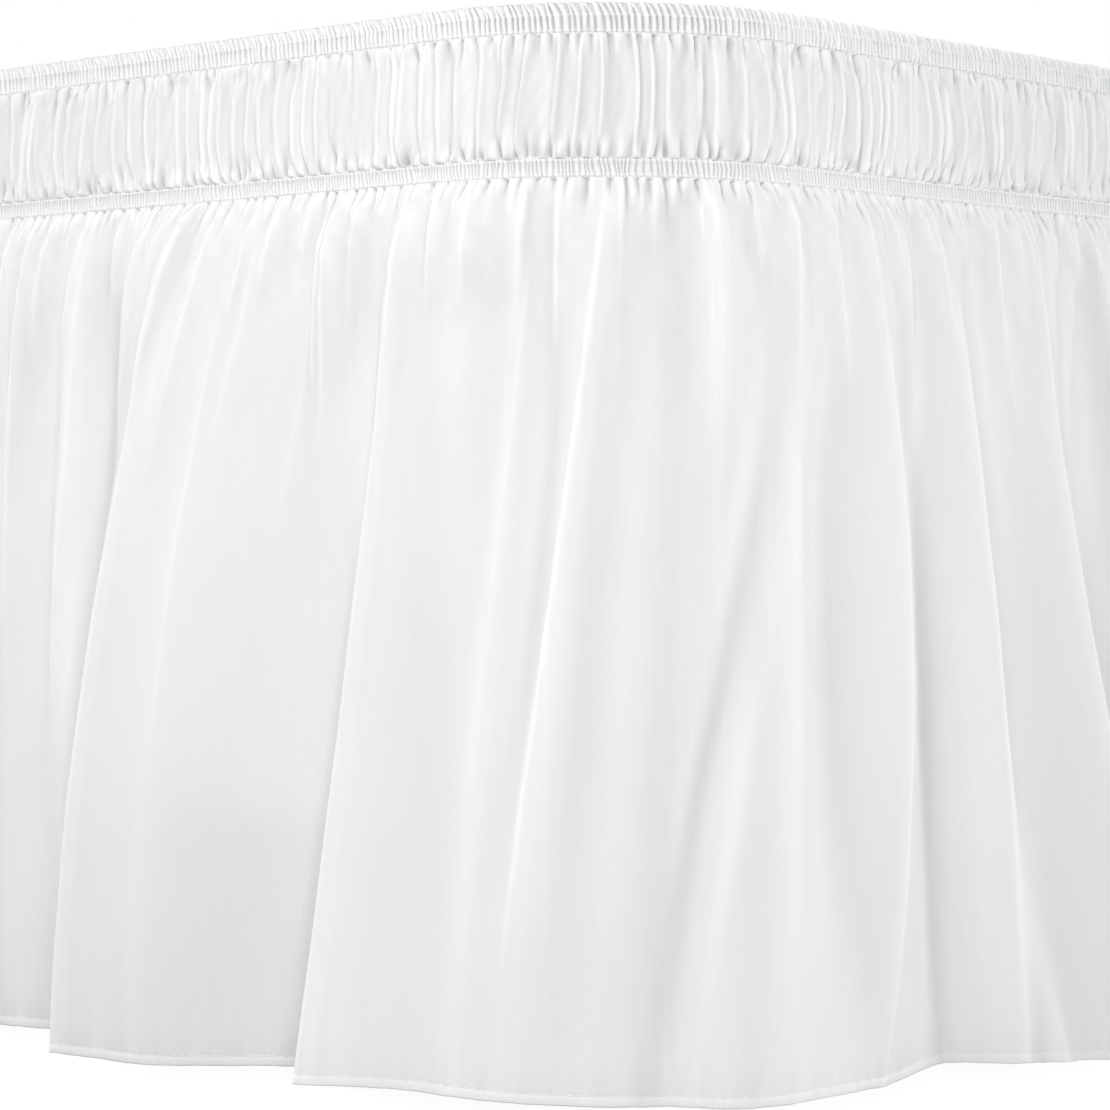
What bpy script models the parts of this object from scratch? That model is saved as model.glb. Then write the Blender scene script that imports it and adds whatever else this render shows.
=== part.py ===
"""A ruched elastic bed skirt on the box spring that it wraps.

The skirt is light cloth, shirred at its top by two narrow rows of elastic.  The cloth
between the rows is the ruched heading, and below them four panels fall in leaning folds to
a hem just above the floor.  Lengths are metres, +Z is up, +Y runs from the foot of the bed
to its head, and the origin is on the floor under the middle of the bed.

A place on the cloth is given by u, the distance round the bed from the middle of the front
corner (+X, -Y), counter-clockwise seen from above, and by drop, which is 0 at the lower
elastic and 1 at the hem.
"""

import math
import random
from collections import namedtuple

import bmesh
import bpy
import numpy as np

# Box spring (twin, 38 x 75 x 9 in) on four legs
BOX_WIDTH = 0.965
BOX_LENGTH = 1.905
BOX_HEIGHT = 0.229
BOX_TOP = 0.412
BOX_CORNER_RADIUS = 0.092
BOX_EDGE_RADIUS = 0.008
BOX_EDGE_STEPS = 2
LEG_RADIUS = 0.023
LEG_FOOT_RADIUS = 0.018
LEG_INSET = 0.085
LEG_SIDES = 20
LEVEL_EDGE = 0.001
LEAST_RIM_TURN = 0.5
SHARP_ANGLE = math.radians(40)

# Cloth: the whole skirt is 16 in deep, from the frilled lip to the hem
DROP = 0.4064
HEM_CLEARANCE = 0.009
LIP_HEIGHT = 0.0046
UPPER_CASING_HEIGHT = 0.0071
HEADING_HEIGHT = 0.0457
LOWER_CASING_HEIGHT = 0.0075
BAND_THICKNESS = 0.0024
PANEL_THICKNESS = 0.0016
LIP_TILT = 0.0012
CASING_ROUND = 0.0003
HEADING_PUFF = 0.0030
HEADING_PROFILE = ((0.0, 0.0), (0.06, 0.0), (0.22, 0.7), (0.5, 1.0), (0.78, 0.7), (0.94, 0.0), (1.0, 0.0))
FIT_GAP = 0.0003
SEAM_GAP = 0.0006
SEAM_STRIP = 0.003

# The ring that the elastic makes round the box spring, at the middle of the cloth
WALL_OFFSET = BAND_THICKNESS / 2 + FIT_GAP
RING_HALF_WIDTH = BOX_WIDTH / 2 + WALL_OFFSET
RING_HALF_LENGTH = BOX_LENGTH / 2 + WALL_OFFSET
RING_RADIUS = BOX_CORNER_RADIUS + WALL_OFFSET
CORNER_STEPS = 12
QUARTER_ARC = RING_RADIUS * math.pi / 2
SIDE_RUN = 2 * (RING_HALF_LENGTH - RING_RADIUS)
END_RUN = 2 * (RING_HALF_WIDTH - RING_RADIUS)
RING_LENGTH = 4 * QUARTER_ARC + 2 * SIDE_RUN + 2 * END_RUN

# The corners in ring order, each with its side of the bed, and the straight run after each
CORNERS = (("foot_right", 1, -1), ("head_right", 1, 1), ("head_left", -1, 1), ("foot_left", -1, -1))
RUNS = (SIDE_RUN, END_RUN, SIDE_RUN, END_RUN)

# Heights of the bands, from the lip down
LIP_TOP = HEM_CLEARANCE + DROP
UPPER_CASING_TOP = LIP_TOP - LIP_HEIGHT
HEADING_TOP = UPPER_CASING_TOP - UPPER_CASING_HEIGHT
LOWER_CASING_TOP = HEADING_TOP - HEADING_HEIGHT
PANEL_TOP = LOWER_CASING_TOP - LOWER_CASING_HEIGHT
PANEL_DROP = PANEL_TOP - HEM_CLEARANCE

# Main folds.  A station is a crest, a valley or a flat stretch of the cloth: its place is u
# at the elastic, mid and hem are how far the cloth stands out from the ring half way down
# and at the hem, and slide is how far the fold leans along the ring there.
Station = namedtuple("Station", "place mid hem slide")
FRONT_STATIONS = (
    Station(-0.352, 0.026, 0.044, -0.018),
    Station(-0.318, 0.013, 0.019, 0.000),
    Station(-0.284, 0.012, 0.016, 0.003),
    Station(-0.248, 0.005, 0.009, 0.004),
    Station(-0.219, 0.031, 0.052, -0.022),
    Station(-0.185, 0.018, 0.028, -0.006),
    Station(-0.150, 0.005, 0.006, -0.008),
    Station(-0.120, 0.004, 0.005, 0.003),
    Station(-0.096, 0.020, 0.036, -0.015),
    Station(-0.055, 0.013, 0.020, -0.004),
    Station(0.006, 0.016, 0.022, 0.000),
    Station(0.062, 0.026, 0.036, 0.004),
    Station(0.092, 0.036, 0.035, 0.008),
    Station(0.128, 0.007, 0.024, -0.002),
    Station(0.162, 0.026, 0.036, 0.004),
    Station(0.196, 0.041, 0.070, 0.020),
    Station(0.232, 0.006, 0.009, -0.004),
)
FOLD_PITCH = (0.088, 0.145)
FOLD_FLANK = (0.030, 0.042)
FOLD_HEM = (0.032, 0.060)
FOLD_MID_SHARE = (0.50, 0.68)
FOLD_SLIDE_SHARE = (0.32, 0.46)
VALLEY_HEM = (0.006, 0.014)
VALLEY_MID_SHARE = 0.6
VALLEY_SLIDE = 0.006
FRONT_MARGIN = 0.065
FOLD_CORNER_REACH = 0.52
FOLD_SEED = 21

# Creases: soft ridges, or troughs where the height is negative, on the main folds
Crease = namedtuple("Crease", "top foot height half_width first last")
FRONT_CREASES = (
    Crease(-0.270, -0.280, 0.0060, 0.017, -0.10, 0.90),
    Crease(-0.205, -0.206, 0.0030, 0.013, -0.10, 0.50),
    Crease(-0.170, -0.177, 0.0040, 0.015, -0.10, 0.78),
    Crease(-0.124, -0.122, 0.0040, 0.011, -0.12, 0.22),
    Crease(-0.066, -0.062, -0.0030, 0.013, -0.10, 0.60),
    Crease(-0.038, -0.046, 0.0040, 0.013, -0.05, 0.85),
    Crease(-0.006, -0.031, 0.0070, 0.016, -0.08, 1.05),
    Crease(0.028, 0.010, -0.0050, 0.015, -0.05, 0.85),
    Crease(0.050, 0.028, 0.0045, 0.013, -0.05, 0.80),
    Crease(0.072, 0.066, -0.0030, 0.012, -0.05, 0.60),
    Crease(0.150, 0.166, 0.0050, 0.014, -0.05, 0.90),
    Crease(0.178, 0.186, 0.0030, 0.012, -0.10, 0.45),
)
CREASE_PITCH = (0.030, 0.052)
CREASE_HEIGHT = (0.0025, 0.0050)
CREASE_TROUGH_SHARE = 0.25
CREASE_HALF_WIDTH = (0.013, 0.018)
CREASE_DRIFT = 0.010
CREASE_LAST = (0.35, 0.95)
CREASE_FIRST = -0.08
CREASE_START = 0.07
CREASE_MARGIN = 0.045

# The cloth stays outside this line, which leans out from the elastic to the hem
LEAST_HEM_OUT = 0.006

# The hem is not quite level
HEM_WAVES = ((3, 0.0012, 0.4), (11, 0.0009, 2.1), (29, 0.0007, 4.0))

# Rows of points down a panel, and the longest step between its columns
PANEL_ROWS = (0.0, 0.09, 0.25, 0.48, 0.74, 1.0)
COLUMN_STEP = 0.0170
FRONT_COLUMN_STEP = 0.0100
LEAST_COLUMN_STEP = 0.002
JOIN_DISTANCE = 0.00005


def ring_frame(u):
    """Return the ring's points, outward directions and forward directions at distances u."""
    along = np.mod(np.atleast_1d(np.asarray(u, dtype=float)) + QUARTER_ARC / 2, RING_LENGTH)
    point = np.zeros((along.size, 2))
    angle = np.zeros(along.size)
    start = 0.0
    for number, (_, side_x, side_y) in enumerate(CORNERS):
        run = RUNS[number]
        centre = np.array((side_x * (RING_HALF_WIDTH - RING_RADIUS),
                           side_y * (RING_HALF_LENGTH - RING_RADIUS)))
        on_arc = (along >= start) & (along < start + QUARTER_ARC)
        on_run = (along >= start + QUARTER_ARC) & (along < start + QUARTER_ARC + run)
        exit_angle = number * math.pi / 2
        turned = exit_angle - math.pi / 2 + (along[on_arc] - start) / RING_RADIUS
        angle[on_arc] = turned
        point[on_arc] = centre + RING_RADIUS * np.column_stack((np.cos(turned), np.sin(turned)))
        angle[on_run] = exit_angle
        walked = (along[on_run] - start - QUARTER_ARC)[:, None]
        leaving = np.array((math.cos(exit_angle), math.sin(exit_angle)))
        heading = np.array((-math.sin(exit_angle), math.cos(exit_angle)))
        point[on_run] = centre + RING_RADIUS * leaving + walked * heading
        start += QUARTER_ARC + run
    outward = np.column_stack((np.cos(angle), np.sin(angle)))
    forward = np.column_stack((-np.sin(angle), np.cos(angle)))
    return point, outward, forward


def corner_places():
    """Return u at the middle of each of the four corners, and the ring's length last."""
    places = [0.0]
    for run in RUNS:
        places.append(places[-1] + run + QUARTER_ARC)
    return places


def fold_stations():
    """Return the stations of all the main folds, once round the bed.

    The front corner's come from their table.  The others lean away from the nearest corner,
    or to either side in the middle of a long side.
    """
    chance = random.Random(FOLD_SEED)
    stations = list(FRONT_STATIONS)
    place = stations[-1].place + FRONT_MARGIN
    last = RING_LENGTH + stations[0].place - FRONT_MARGIN
    lean = 1
    while place < last:
        gap = min(((place - corner + RING_LENGTH / 2) % RING_LENGTH - RING_LENGTH / 2
                   for corner in corner_places()), key=abs)
        before = lean
        lean = math.copysign(1, gap) if abs(gap) < FOLD_CORNER_REACH else chance.choice((-1, 1))
        if lean < before:
            place += FOLD_FLANK[1]
        hem = chance.uniform(*FOLD_HEM)
        mid = hem * chance.uniform(*FOLD_MID_SHARE)
        slide = lean * hem * chance.uniform(*FOLD_SLIDE_SHARE)
        valley_hem = chance.uniform(*VALLEY_HEM)
        flank = chance.uniform(*FOLD_FLANK)
        crest = Station(place, mid, hem, slide)
        valley = Station(place + lean * flank, VALLEY_MID_SHARE * valley_hem, valley_hem,
                         -lean * VALLEY_SLIDE)
        if max(valley.place, crest.place) < last:
            stations += (valley, crest) if lean < 0 else (crest, valley)
        place += chance.uniform(*FOLD_PITCH)
    return stations


def all_creases():
    """Return the creases of the front corner and those of the rest of the bed."""
    chance = random.Random(FOLD_SEED + 1)
    creases = list(FRONT_CREASES)
    place = FRONT_CREASES[-1].top + CREASE_MARGIN
    while place < RING_LENGTH + FRONT_CREASES[0].top - CREASE_MARGIN:
        height = chance.uniform(*CREASE_HEIGHT)
        if chance.random() < CREASE_TROUGH_SHARE:
            height = -height
        creases.append(Crease(place, place + chance.uniform(-CREASE_DRIFT, CREASE_DRIFT), height,
                              chance.uniform(*CREASE_HALF_WIDTH), CREASE_FIRST,
                              chance.uniform(*CREASE_LAST)))
        place += chance.uniform(*CREASE_PITCH)
    return creases


STATIONS = fold_stations()
CREASES = all_creases()


def eased(u, places, values):
    """Return values at u, eased with a half cosine from each station to the next."""
    places = np.concatenate((places, [places[0] + RING_LENGTH]))
    values = np.concatenate((values, [values[0]]))
    along = (u - places[0]) % RING_LENGTH + places[0]
    left = np.clip(np.searchsorted(places, along, side="right") - 1, 0, len(places) - 2)
    share = (along - places[left]) / (places[left + 1] - places[left])
    share = (1 - np.cos(math.pi * share)) / 2
    return values[left] + share * (values[left + 1] - values[left])


def fold_shape(u, drop):
    """Return how far the cloth stands out of the ring and slides along it at (u, drop).

    Down the cloth it stands out along a parabola through 0, its mid and its hem.
    """
    places = np.array([station.place for station in STATIONS])
    mid = eased(u, places, np.array([station.mid for station in STATIONS]))
    hem = eased(u, places, np.array([station.hem for station in STATIONS]))
    slide = eased(u, places, np.array([station.slide for station in STATIONS]))
    out = (4 * mid - hem) * drop + (2 * hem - 4 * mid) * drop ** 2
    for crease in CREASES:
        centre = crease.top + (crease.foot - crease.top) * drop
        away = (u - centre + RING_LENGTH / 2) % RING_LENGTH - RING_LENGTH / 2
        near = np.clip(np.abs(away) / crease.half_width, 0, 1)
        when = np.clip((drop - crease.first) / (crease.last - crease.first), 0, 1)
        fade = np.sin(when * math.pi) * np.minimum(drop / CREASE_START, 1)
        out = out + crease.height * np.cos(near * math.pi / 2) ** 2 * fade
    return np.maximum(out, LEAST_HEM_OUT * drop), slide * drop


def panel_point(u, drop):
    """Return the points of the falling cloth at distances u and drops of the same shape."""
    out, slide = fold_shape(u, drop)
    point, outward, forward = ring_frame(u + slide)
    plan = point + out[:, None] * outward
    uneven = sum(size * np.sin(count * 2 * math.pi * u / RING_LENGTH + shift)
                 for count, size, shift in HEM_WAVES)
    height = PANEL_TOP - FIT_GAP + (uneven + FIT_GAP - PANEL_DROP) * drop
    return np.column_stack((plan, height))


def material(name, colour, roughness):
    """Return a new Principled material."""
    made = bpy.data.materials.new(name)
    made.use_nodes = True
    shader = made.node_tree.nodes["Principled BSDF"]
    shader.inputs["Base Color"].default_value = (*colour, 1.0)
    shader.inputs["Roughness"].default_value = roughness
    shader.inputs["Metallic"].default_value = 0.0
    made.diffuse_color = (*colour, 1.0)
    return made


def add_object(name, shape, collection, finish, place=(0, 0, 0)):
    """Put a bmesh in the scene as a named object with one material, and return the object."""
    mesh = bpy.data.meshes.new(name)
    shape.to_mesh(mesh)
    shape.free()
    mesh.shade_smooth()
    mesh.set_sharp_from_angle(angle=SHARP_ANGLE)
    mesh.materials.append(finish)
    made = bpy.data.objects.new(name, mesh)
    made.location = place
    collection.objects.link(made)
    return made


def cloth_grid(columns, rows, place_points, closed):
    """Return a bmesh grid laid through place_points(u, row), its ends joined if closed."""
    shape = bmesh.new()
    across, down = len(columns) - 1, len(rows) - 1
    bmesh.ops.create_grid(shape, x_segments=across, y_segments=down, size=1)
    spots = [place_points(np.asarray(columns), row) for row in rows]
    for vert in shape.verts:
        column = round((vert.co.x + 1) / 2 * across)
        row = round((1 - vert.co.y) / 2 * down)
        vert.co = spots[row][column]
    if closed:
        bmesh.ops.remove_doubles(shape, verts=shape.verts, dist=JOIN_DISTANCE)
    return shape


def add_sheet(name, shape, thickness, collection, finish):
    """Add a sheet of cloth, thickened evenly to both sides of its grid."""
    made = add_object(name, shape, collection, finish)
    wall = made.modifiers.new("Cloth", "SOLIDIFY")
    wall.thickness = thickness
    wall.offset = 0
    wall.use_rim = True
    return made


def ring_columns():
    """Return the columns of a band: even steps round each corner, none on the straights."""
    columns = []
    for corner in corner_places()[:-1]:
        for step in range(CORNER_STEPS + 1):
            columns.append(corner + (step / CORNER_STEPS - 0.5) * QUARTER_ARC)
    columns.append(columns[0] + RING_LENGTH)
    return columns


def band(profile):
    """Return a shirred band round the whole ring from its (height, out) profile, top first."""
    heights = [height for height, _ in profile]
    outs = dict(profile)

    def place_points(u, height):
        point, outward, _ = ring_frame(u)
        plan = point + outs[height] * outward
        return np.column_stack((plan, np.full(len(u), height)))

    return cloth_grid(ring_columns(), heights, place_points, True)


def upper_elastic():
    """Return the upper casing with the frilled lip that stands above it."""
    casing_middle = UPPER_CASING_TOP - UPPER_CASING_HEIGHT / 2
    return band(((LIP_TOP, LIP_TILT), (UPPER_CASING_TOP, 0.0), (casing_middle, CASING_ROUND),
                 (HEADING_TOP + FIT_GAP, 0.0)))


def heading():
    """Return the ruched heading, which puffs out between the two rows of elastic."""
    return band([(HEADING_TOP - HEADING_HEIGHT * share, HEADING_PUFF * puff)
                 for share, puff in HEADING_PROFILE])


def lower_elastic():
    """Return the lower casing, where the falling cloth starts."""
    middle = (LOWER_CASING_TOP + PANEL_TOP) / 2
    return band(((LOWER_CASING_TOP - FIT_GAP, 0.0), (middle, CASING_ROUND), (PANEL_TOP, 0.0)))


def panel_columns(first, last):
    """Return a panel's columns: its seam strips, every station, and even steps between them."""
    inner_first, inner_last = first + SEAM_STRIP, last - SEAM_STRIP
    places = [station.place + turn * RING_LENGTH for turn in (-1, 0, 1) for station in STATIONS]
    inside = sorted(place for place in places
                    if inner_first + LEAST_COLUMN_STEP < place < inner_last - LEAST_COLUMN_STEP)
    marks = [first, inner_first, *inside, inner_last, last]
    columns = [first]
    for start, end in zip(marks, marks[1:]):
        middle = (start + end) / 2
        at_front = FRONT_STATIONS[0].place < middle < FRONT_STATIONS[-1].place
        step = FRONT_COLUMN_STEP if at_front else COLUMN_STEP
        count = max(1, math.ceil((end - start) / step))
        columns += [start + (end - start) * number / count for number in range(1, count + 1)]
    return columns


def panel(corner):
    """Return the falling panel round one corner, seamed at the middle of the two walls."""
    places = corner_places()
    seams = [(place + following) / 2 for place, following in zip(places, places[1:])]
    seams = [seams[-1] - RING_LENGTH] + seams
    first, last = seams[corner] + SEAM_GAP / 2, seams[corner + 1] - SEAM_GAP / 2
    return cloth_grid(panel_columns(first, last), PANEL_ROWS,
                      lambda u, drop: panel_point(u, np.full(len(u), drop)), False)


def box_spring():
    """Return the box spring: a block with round corners and softened rims."""
    shape = bmesh.new()
    bmesh.ops.create_cube(shape, size=1)
    bmesh.ops.scale(shape, vec=(BOX_WIDTH, BOX_LENGTH, BOX_HEIGHT), verts=shape.verts)
    upright = [edge for edge in shape.edges
               if abs(edge.verts[0].co.z - edge.verts[1].co.z) > BOX_HEIGHT / 2]
    bmesh.ops.bevel(shape, geom=upright, offset=BOX_CORNER_RADIUS, segments=CORNER_STEPS,
                    profile=0.5, affect="EDGES", material=-1)
    rims = [edge for edge in shape.edges
            if abs(edge.verts[0].co.z - edge.verts[1].co.z) < LEVEL_EDGE
            and abs(edge.link_faces[0].normal.z - edge.link_faces[1].normal.z) > LEAST_RIM_TURN]
    bmesh.ops.bevel(shape, geom=rims, offset=BOX_EDGE_RADIUS, segments=BOX_EDGE_STEPS,
                    profile=0.5, affect="EDGES", material=-1)
    return shape


def leg():
    """Return one tapered round leg, its top at the origin."""
    length = BOX_TOP - BOX_HEIGHT - FIT_GAP
    shape = bmesh.new()
    bmesh.ops.create_cone(shape, cap_ends=True, segments=LEG_SIDES, radius1=LEG_FOOT_RADIUS,
                          radius2=LEG_RADIUS, depth=length)
    bmesh.ops.translate(shape, vec=(0, 0, -length / 2), verts=shape.verts)
    return shape


def build():
    """Build every piece of the bed skirt and of the bed base that it hangs from."""
    for old in list(bpy.data.objects):
        bpy.data.objects.remove(old, do_unlink=True)
    skirt = bpy.data.collections.new("bed_skirt")
    bpy.context.scene.collection.children.link(skirt)
    cloth = material("microfibre_white", (0.86, 0.87, 0.89), 0.75)
    shirred = material("microfibre_shirred", (0.82, 0.83, 0.86), 0.80)
    ticking = material("ticking_plain", (0.62, 0.61, 0.58), 0.85)
    beech = material("leg_wood", (0.32, 0.22, 0.14), 0.50)

    add_sheet("upper_elastic", upper_elastic(), BAND_THICKNESS, skirt, shirred)
    add_sheet("heading", heading(), BAND_THICKNESS, skirt, cloth)
    add_sheet("lower_elastic", lower_elastic(), BAND_THICKNESS, skirt, shirred)
    add_object("box_spring", box_spring(), skirt, ticking, (0, 0, BOX_TOP - BOX_HEIGHT / 2))
    leg_x = BOX_WIDTH / 2 - LEG_INSET
    leg_y = BOX_LENGTH / 2 - LEG_INSET
    leg_top = BOX_TOP - BOX_HEIGHT - FIT_GAP
    for corner, (where, side_x, side_y) in enumerate(CORNERS):
        add_sheet(f"panel_{where}", panel(corner), PANEL_THICKNESS, skirt, cloth)
        add_object(f"leg_{where}", leg(), skirt, beech, (side_x * leg_x, side_y * leg_y, leg_top))


build()
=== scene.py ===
"""Dress a ruched elastic bed skirt and the plain box spring that it hangs from.

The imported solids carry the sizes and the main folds. This script lays finer cloth along the
same lines: ribbed elastic casings, a ruched heading, drop panels whose gathers fan out of the
lower casing into leaning folds, and a folded hem with its lockstitch.

Lengths are metres. u is the distance round the bed from the middle of the front corner
(+X, -Y), counter-clockwise seen from above. Fall is how far down a drop panel a point lies,
and drop is the same as a share, 0 at the lower casing and 1 at the hem.
"""

import logging
import math
import random
from dataclasses import dataclass, field
from enum import Enum
from typing import Callable, NamedTuple, Sequence

import bmesh
import bpy
import numpy as np
from mathutils import Matrix, Vector


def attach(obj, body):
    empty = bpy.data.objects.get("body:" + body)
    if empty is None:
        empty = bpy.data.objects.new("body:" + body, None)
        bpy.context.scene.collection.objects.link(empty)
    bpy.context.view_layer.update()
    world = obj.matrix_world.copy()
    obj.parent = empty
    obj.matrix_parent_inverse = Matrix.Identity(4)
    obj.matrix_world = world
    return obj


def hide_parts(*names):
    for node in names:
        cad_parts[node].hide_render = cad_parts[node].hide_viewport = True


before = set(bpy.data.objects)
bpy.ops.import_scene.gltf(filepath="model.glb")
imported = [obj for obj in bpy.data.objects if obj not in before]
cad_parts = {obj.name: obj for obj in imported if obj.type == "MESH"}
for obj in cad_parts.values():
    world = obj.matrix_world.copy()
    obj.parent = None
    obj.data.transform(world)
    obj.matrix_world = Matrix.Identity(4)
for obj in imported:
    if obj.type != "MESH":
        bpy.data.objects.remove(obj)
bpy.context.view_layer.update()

Range = tuple[float, float]
Triple = tuple[float, float, float]

LOG = logging.getLogger("bed_skirt")
BODY = "root"

# Heights above the floor, and the drop of a panel, as in the solids
HEADING_TOP = 0.4037
LOWER_CASING_TOP = 0.3580
PANEL_TOP = 0.3505
PANEL_DROP = 0.3415

# How far a stitched edge laps over its casing, and the furthest that cloth goes into the ring
STITCHED_LAP = 0.0004
INNERMOST = -0.0011
CLOTH_THICKNESS = 0.0005

# Length of cloth gathered into each metre of ring, and the distance from a corner over which
# gathers and pleats come to lean away from it
FULLNESS = 1.5
FAN_REACH = 0.13

# Where a sheet folds sharply outward its colour is painted whiter, a painted highlight, and in a
# valley or a furrow it is painted darker, a painted shade; the mesh holds this tone at its points
# under the name crest. Each kind of crest has the distance to each side at which the sheet is
# compared, and the slope that counts as sharp.
PAINTED_LIGHT_ATTRIBUTE = "crest"
FINE_CREST = (0.0008, 0.55)
BROAD_CREST = (0.0065, 0.32)
# The broad crests' share of the painted highlight, the share of painted shade kept in valleys, the
# furrow depth that is painted fully dark, and the darkest painted shade
BROAD_LIGHT_SHARE = 0.40
VALLEY_SHADE_SHARE = 0.55
FULL_SHADE_PIT_DEPTH = 0.0024
DARKEST_PAINTED_SHADE = -2.3

# How near each other the points on a closed sheet's rims are joined
JOIN_DISTANCE = 0.00002

# The stretch of the ring that faces the camera is modelled finest
FRONT_REACH = 0.34

# Share of the finer waves wherever cloth is uneven
FINE_WAVES = 0.6
WHITE = (1.0, 1.0, 1.0, 1.0)


class Slot(Enum):
    """The record's material slots, but for the legs', which are shown as their solids."""

    MICROFIBRE = "microfibre"
    SHIRRED = "shirred_casing"
    TICKING = "ticking"


class Station(NamedTuple):
    """A crest, valley or flat of the main folds: its place, how far it stands out half way down
    and at the hem, and how far it leans along the ring there."""

    place: float
    mid: float
    hem: float
    slide: float


class Crease(NamedTuple):
    """A soft ridge, or a trough where its height is negative, on the main folds: its places at
    the casing and at the hem, its height, half its width, and the drops where it starts and
    ends."""

    top: float
    foot: float
    height: float
    half_width: float
    first: float
    last: float


class Line(NamedTuple):
    """A crisp line in the falling cloth, a ridge or, where its height is negative, a furrow: its
    places at the casing, a third and two thirds of the way down and at the hem, its height, how
    far it fades to each side, and the drops where it starts and ends."""

    top: float
    third: float
    two_thirds: float
    foot: float
    height: float
    left: float
    right: float
    first: float
    last: float

    @classmethod
    def straight(cls, place: float, *rest: float) -> "Line":
        """Return a line that runs straight down, from its place, its height and what follows."""
        return cls(place, place, place, place, *rest)


class Gather(NamedTuple):
    """A small fold that leaves a line of stitches and dies away down the cloth: its place, how
    far it drifts along the ring, its height, half its width, its length, and how much broader it
    is on one side."""

    place: float
    drift: float
    height: float
    half_width: float
    length: float
    lean: float


class Lamp(NamedTuple):
    """A soft lamp: its name, where it hangs, what it faces, its width and height, and its power
    in watts."""

    name: str
    place: Triple
    target: Triple
    size: Range
    power: float


class CasingRow(NamedTuple):
    """A line round a casing: its height above the floor, how far out it lies, its share of the
    ribs' height, and how far the ribs have slanted along the ring there."""

    height: float
    out: float
    rib: float
    slant: float


FRONT_STATIONS = (
    Station(-0.352, 0.026, 0.038, -0.018),
    Station(-0.318, 0.013, 0.015, 0.000),
    Station(-0.284, 0.012, 0.010, 0.003),
    Station(-0.256, 0.005, 0.010, -0.008),
    Station(-0.2156, 0.036, 0.047, -0.029),
    Station(-0.190, 0.036, 0.044, -0.013),
    Station(-0.120, 0.008, 0.011, 0.003),
    Station(-0.0915, 0.016, 0.038, -0.0185),
    Station(-0.055, 0.013, 0.025, -0.004),
    Station(0.006, 0.016, 0.026, 0.000),
    Station(0.0635, 0.024, 0.039, -0.0230),
    Station(0.088, 0.018, 0.0365, -0.0290),
    Station(0.1178, 0.0360, 0.0360, -0.0330),
    Station(0.146, 0.010, 0.022, -0.003),
    Station(0.170, 0.028, 0.046, 0.0000),
    Station(0.187, 0.016, 0.055, -0.002),
    Station(0.2319, 0.034, 0.0800, -0.0092),
    Station(0.262, 0.006, 0.009, -0.004),
)
FRONT_CREASES = (
    Crease(-0.270, -0.280, 0.0060, 0.017, -0.10, 0.90),
    Crease(-0.205, -0.206, 0.0024, 0.013, -0.10, 0.50),
    Crease(-0.124, -0.122, 0.0040, 0.011, -0.12, 0.22),
    Crease(-0.160, -0.162, 0.0052, 0.045, 0.25, 1.00),
    Crease(-0.146, -0.146, -0.0120, 0.046, 0.70, 1.30),
    Crease(-0.058, -0.056, 0.0026, 0.016, -0.05, 0.60),
    Crease(-0.060, -0.067, -0.0060, 0.022, 0.25, 1.16),
    Crease(-0.003, -0.032, 0.0032, 0.015, -0.08, 1.10),
    Crease(-0.023, -0.040, -0.0046, 0.013, -0.12, 0.85),
    Crease(0.012, -0.004, 0.0024, 0.016, -0.05, 1.05),
    Crease(0.078, 0.012, -0.0045, 0.015, -0.05, 1.10),
    Crease(0.066, 0.062, 0.0022, 0.012, 0.00, 1.00),
)

# Lines too fine for the solids
FRONT_LINES = (
    Line(-0.268, -0.275, -0.287, -0.292, 0.0024, 0.006, 0.004, -0.05, 0.75),
    Line(-0.242, -0.246, -0.250, -0.254, 0.0015, 0.005, 0.004, -0.05, 0.40),
    Line.straight(-0.2156, 0.0038, 0.0018, 0.007, -0.05, 1.30),
    Line(-0.178, -0.181, -0.182, -0.186, 0.0013, 0.005, 0.007, -0.05, 0.66),
    Line(-0.129, -0.138, -0.142, -0.144, 0.0051, 0.0016, 0.005, -0.08, 0.22),
    Line.straight(-0.098, -0.0024, 0.012, 0.002, 0.05, 1.00),
    Line.straight(-0.0915, 0.0054, 0.0018, 0.009, 0.00, 1.30),
    Line(-0.030, -0.039, -0.046, -0.053, 0.0013, 0.004, 0.006, -0.05, 0.66),
    Line(-0.005, -0.017, -0.029, -0.038, 0.0040, 0.002, 0.007, -0.06, 0.86),
    Line.straight(0.1178, 0.0023, 0.011, 0.0032, -0.06, 1.25),
    Line.straight(0.170, 0.0018, 0.009, 0.0028, -0.06, 0.85),
    Line.straight(0.2319, 0.0023, 0.009, 0.0024, -0.06, 1.05),
)

# The upper casing, from the top of its frilled lip down its front and up its back
UPPER_CASING = (
    CasingRow(0.4152, 0.0008, 0.60, -0.0022),
    CasingRow(0.4147, 0.0012, 0.90, -0.0019),
    CasingRow(0.4130, 0.0014, 1.00, -0.0011),
    CasingRow(0.4114, 0.0012, 0.75, -0.0004),
    CasingRow(0.4107, 0.0018, 0.15, -0.0001),
    CasingRow(0.4100, 0.0012, 0.85, 0.0000),
    CasingRow(0.4073, 0.0014, 1.00, 0.0002),
    CasingRow(0.4057, 0.0012, 0.80, 0.0003),
    CasingRow(0.4049, 0.0018, 0.15, 0.0003),
    CasingRow(0.4035, 0.0004, 0.30, 0.0004),
    CasingRow(0.4039, -0.0011, 0.00, 0.0000),
    CasingRow(0.4148, -0.0010, 0.00, -0.0019),
)

# The lower casing, from its top down its front and up its back
LOWER_CASING = (
    CasingRow(0.3583, 0.0008, 0.30, -0.0003),
    CasingRow(0.3571, 0.0019, 0.15, -0.0002),
    CasingRow(0.3563, 0.0012, 0.80, -0.0001),
    CasingRow(0.3543, 0.0014, 1.00, 0.0000),
    CasingRow(0.3524, 0.0012, 0.80, 0.0002),
    CasingRow(0.3516, 0.0019, 0.15, 0.0003),
    CasingRow(0.3502, 0.0004, 0.30, 0.0004),
    CasingRow(0.3505, -0.0011, 0.00, 0.0000),
    CasingRow(0.3580, -0.0011, 0.00, 0.0000),
)

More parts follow.
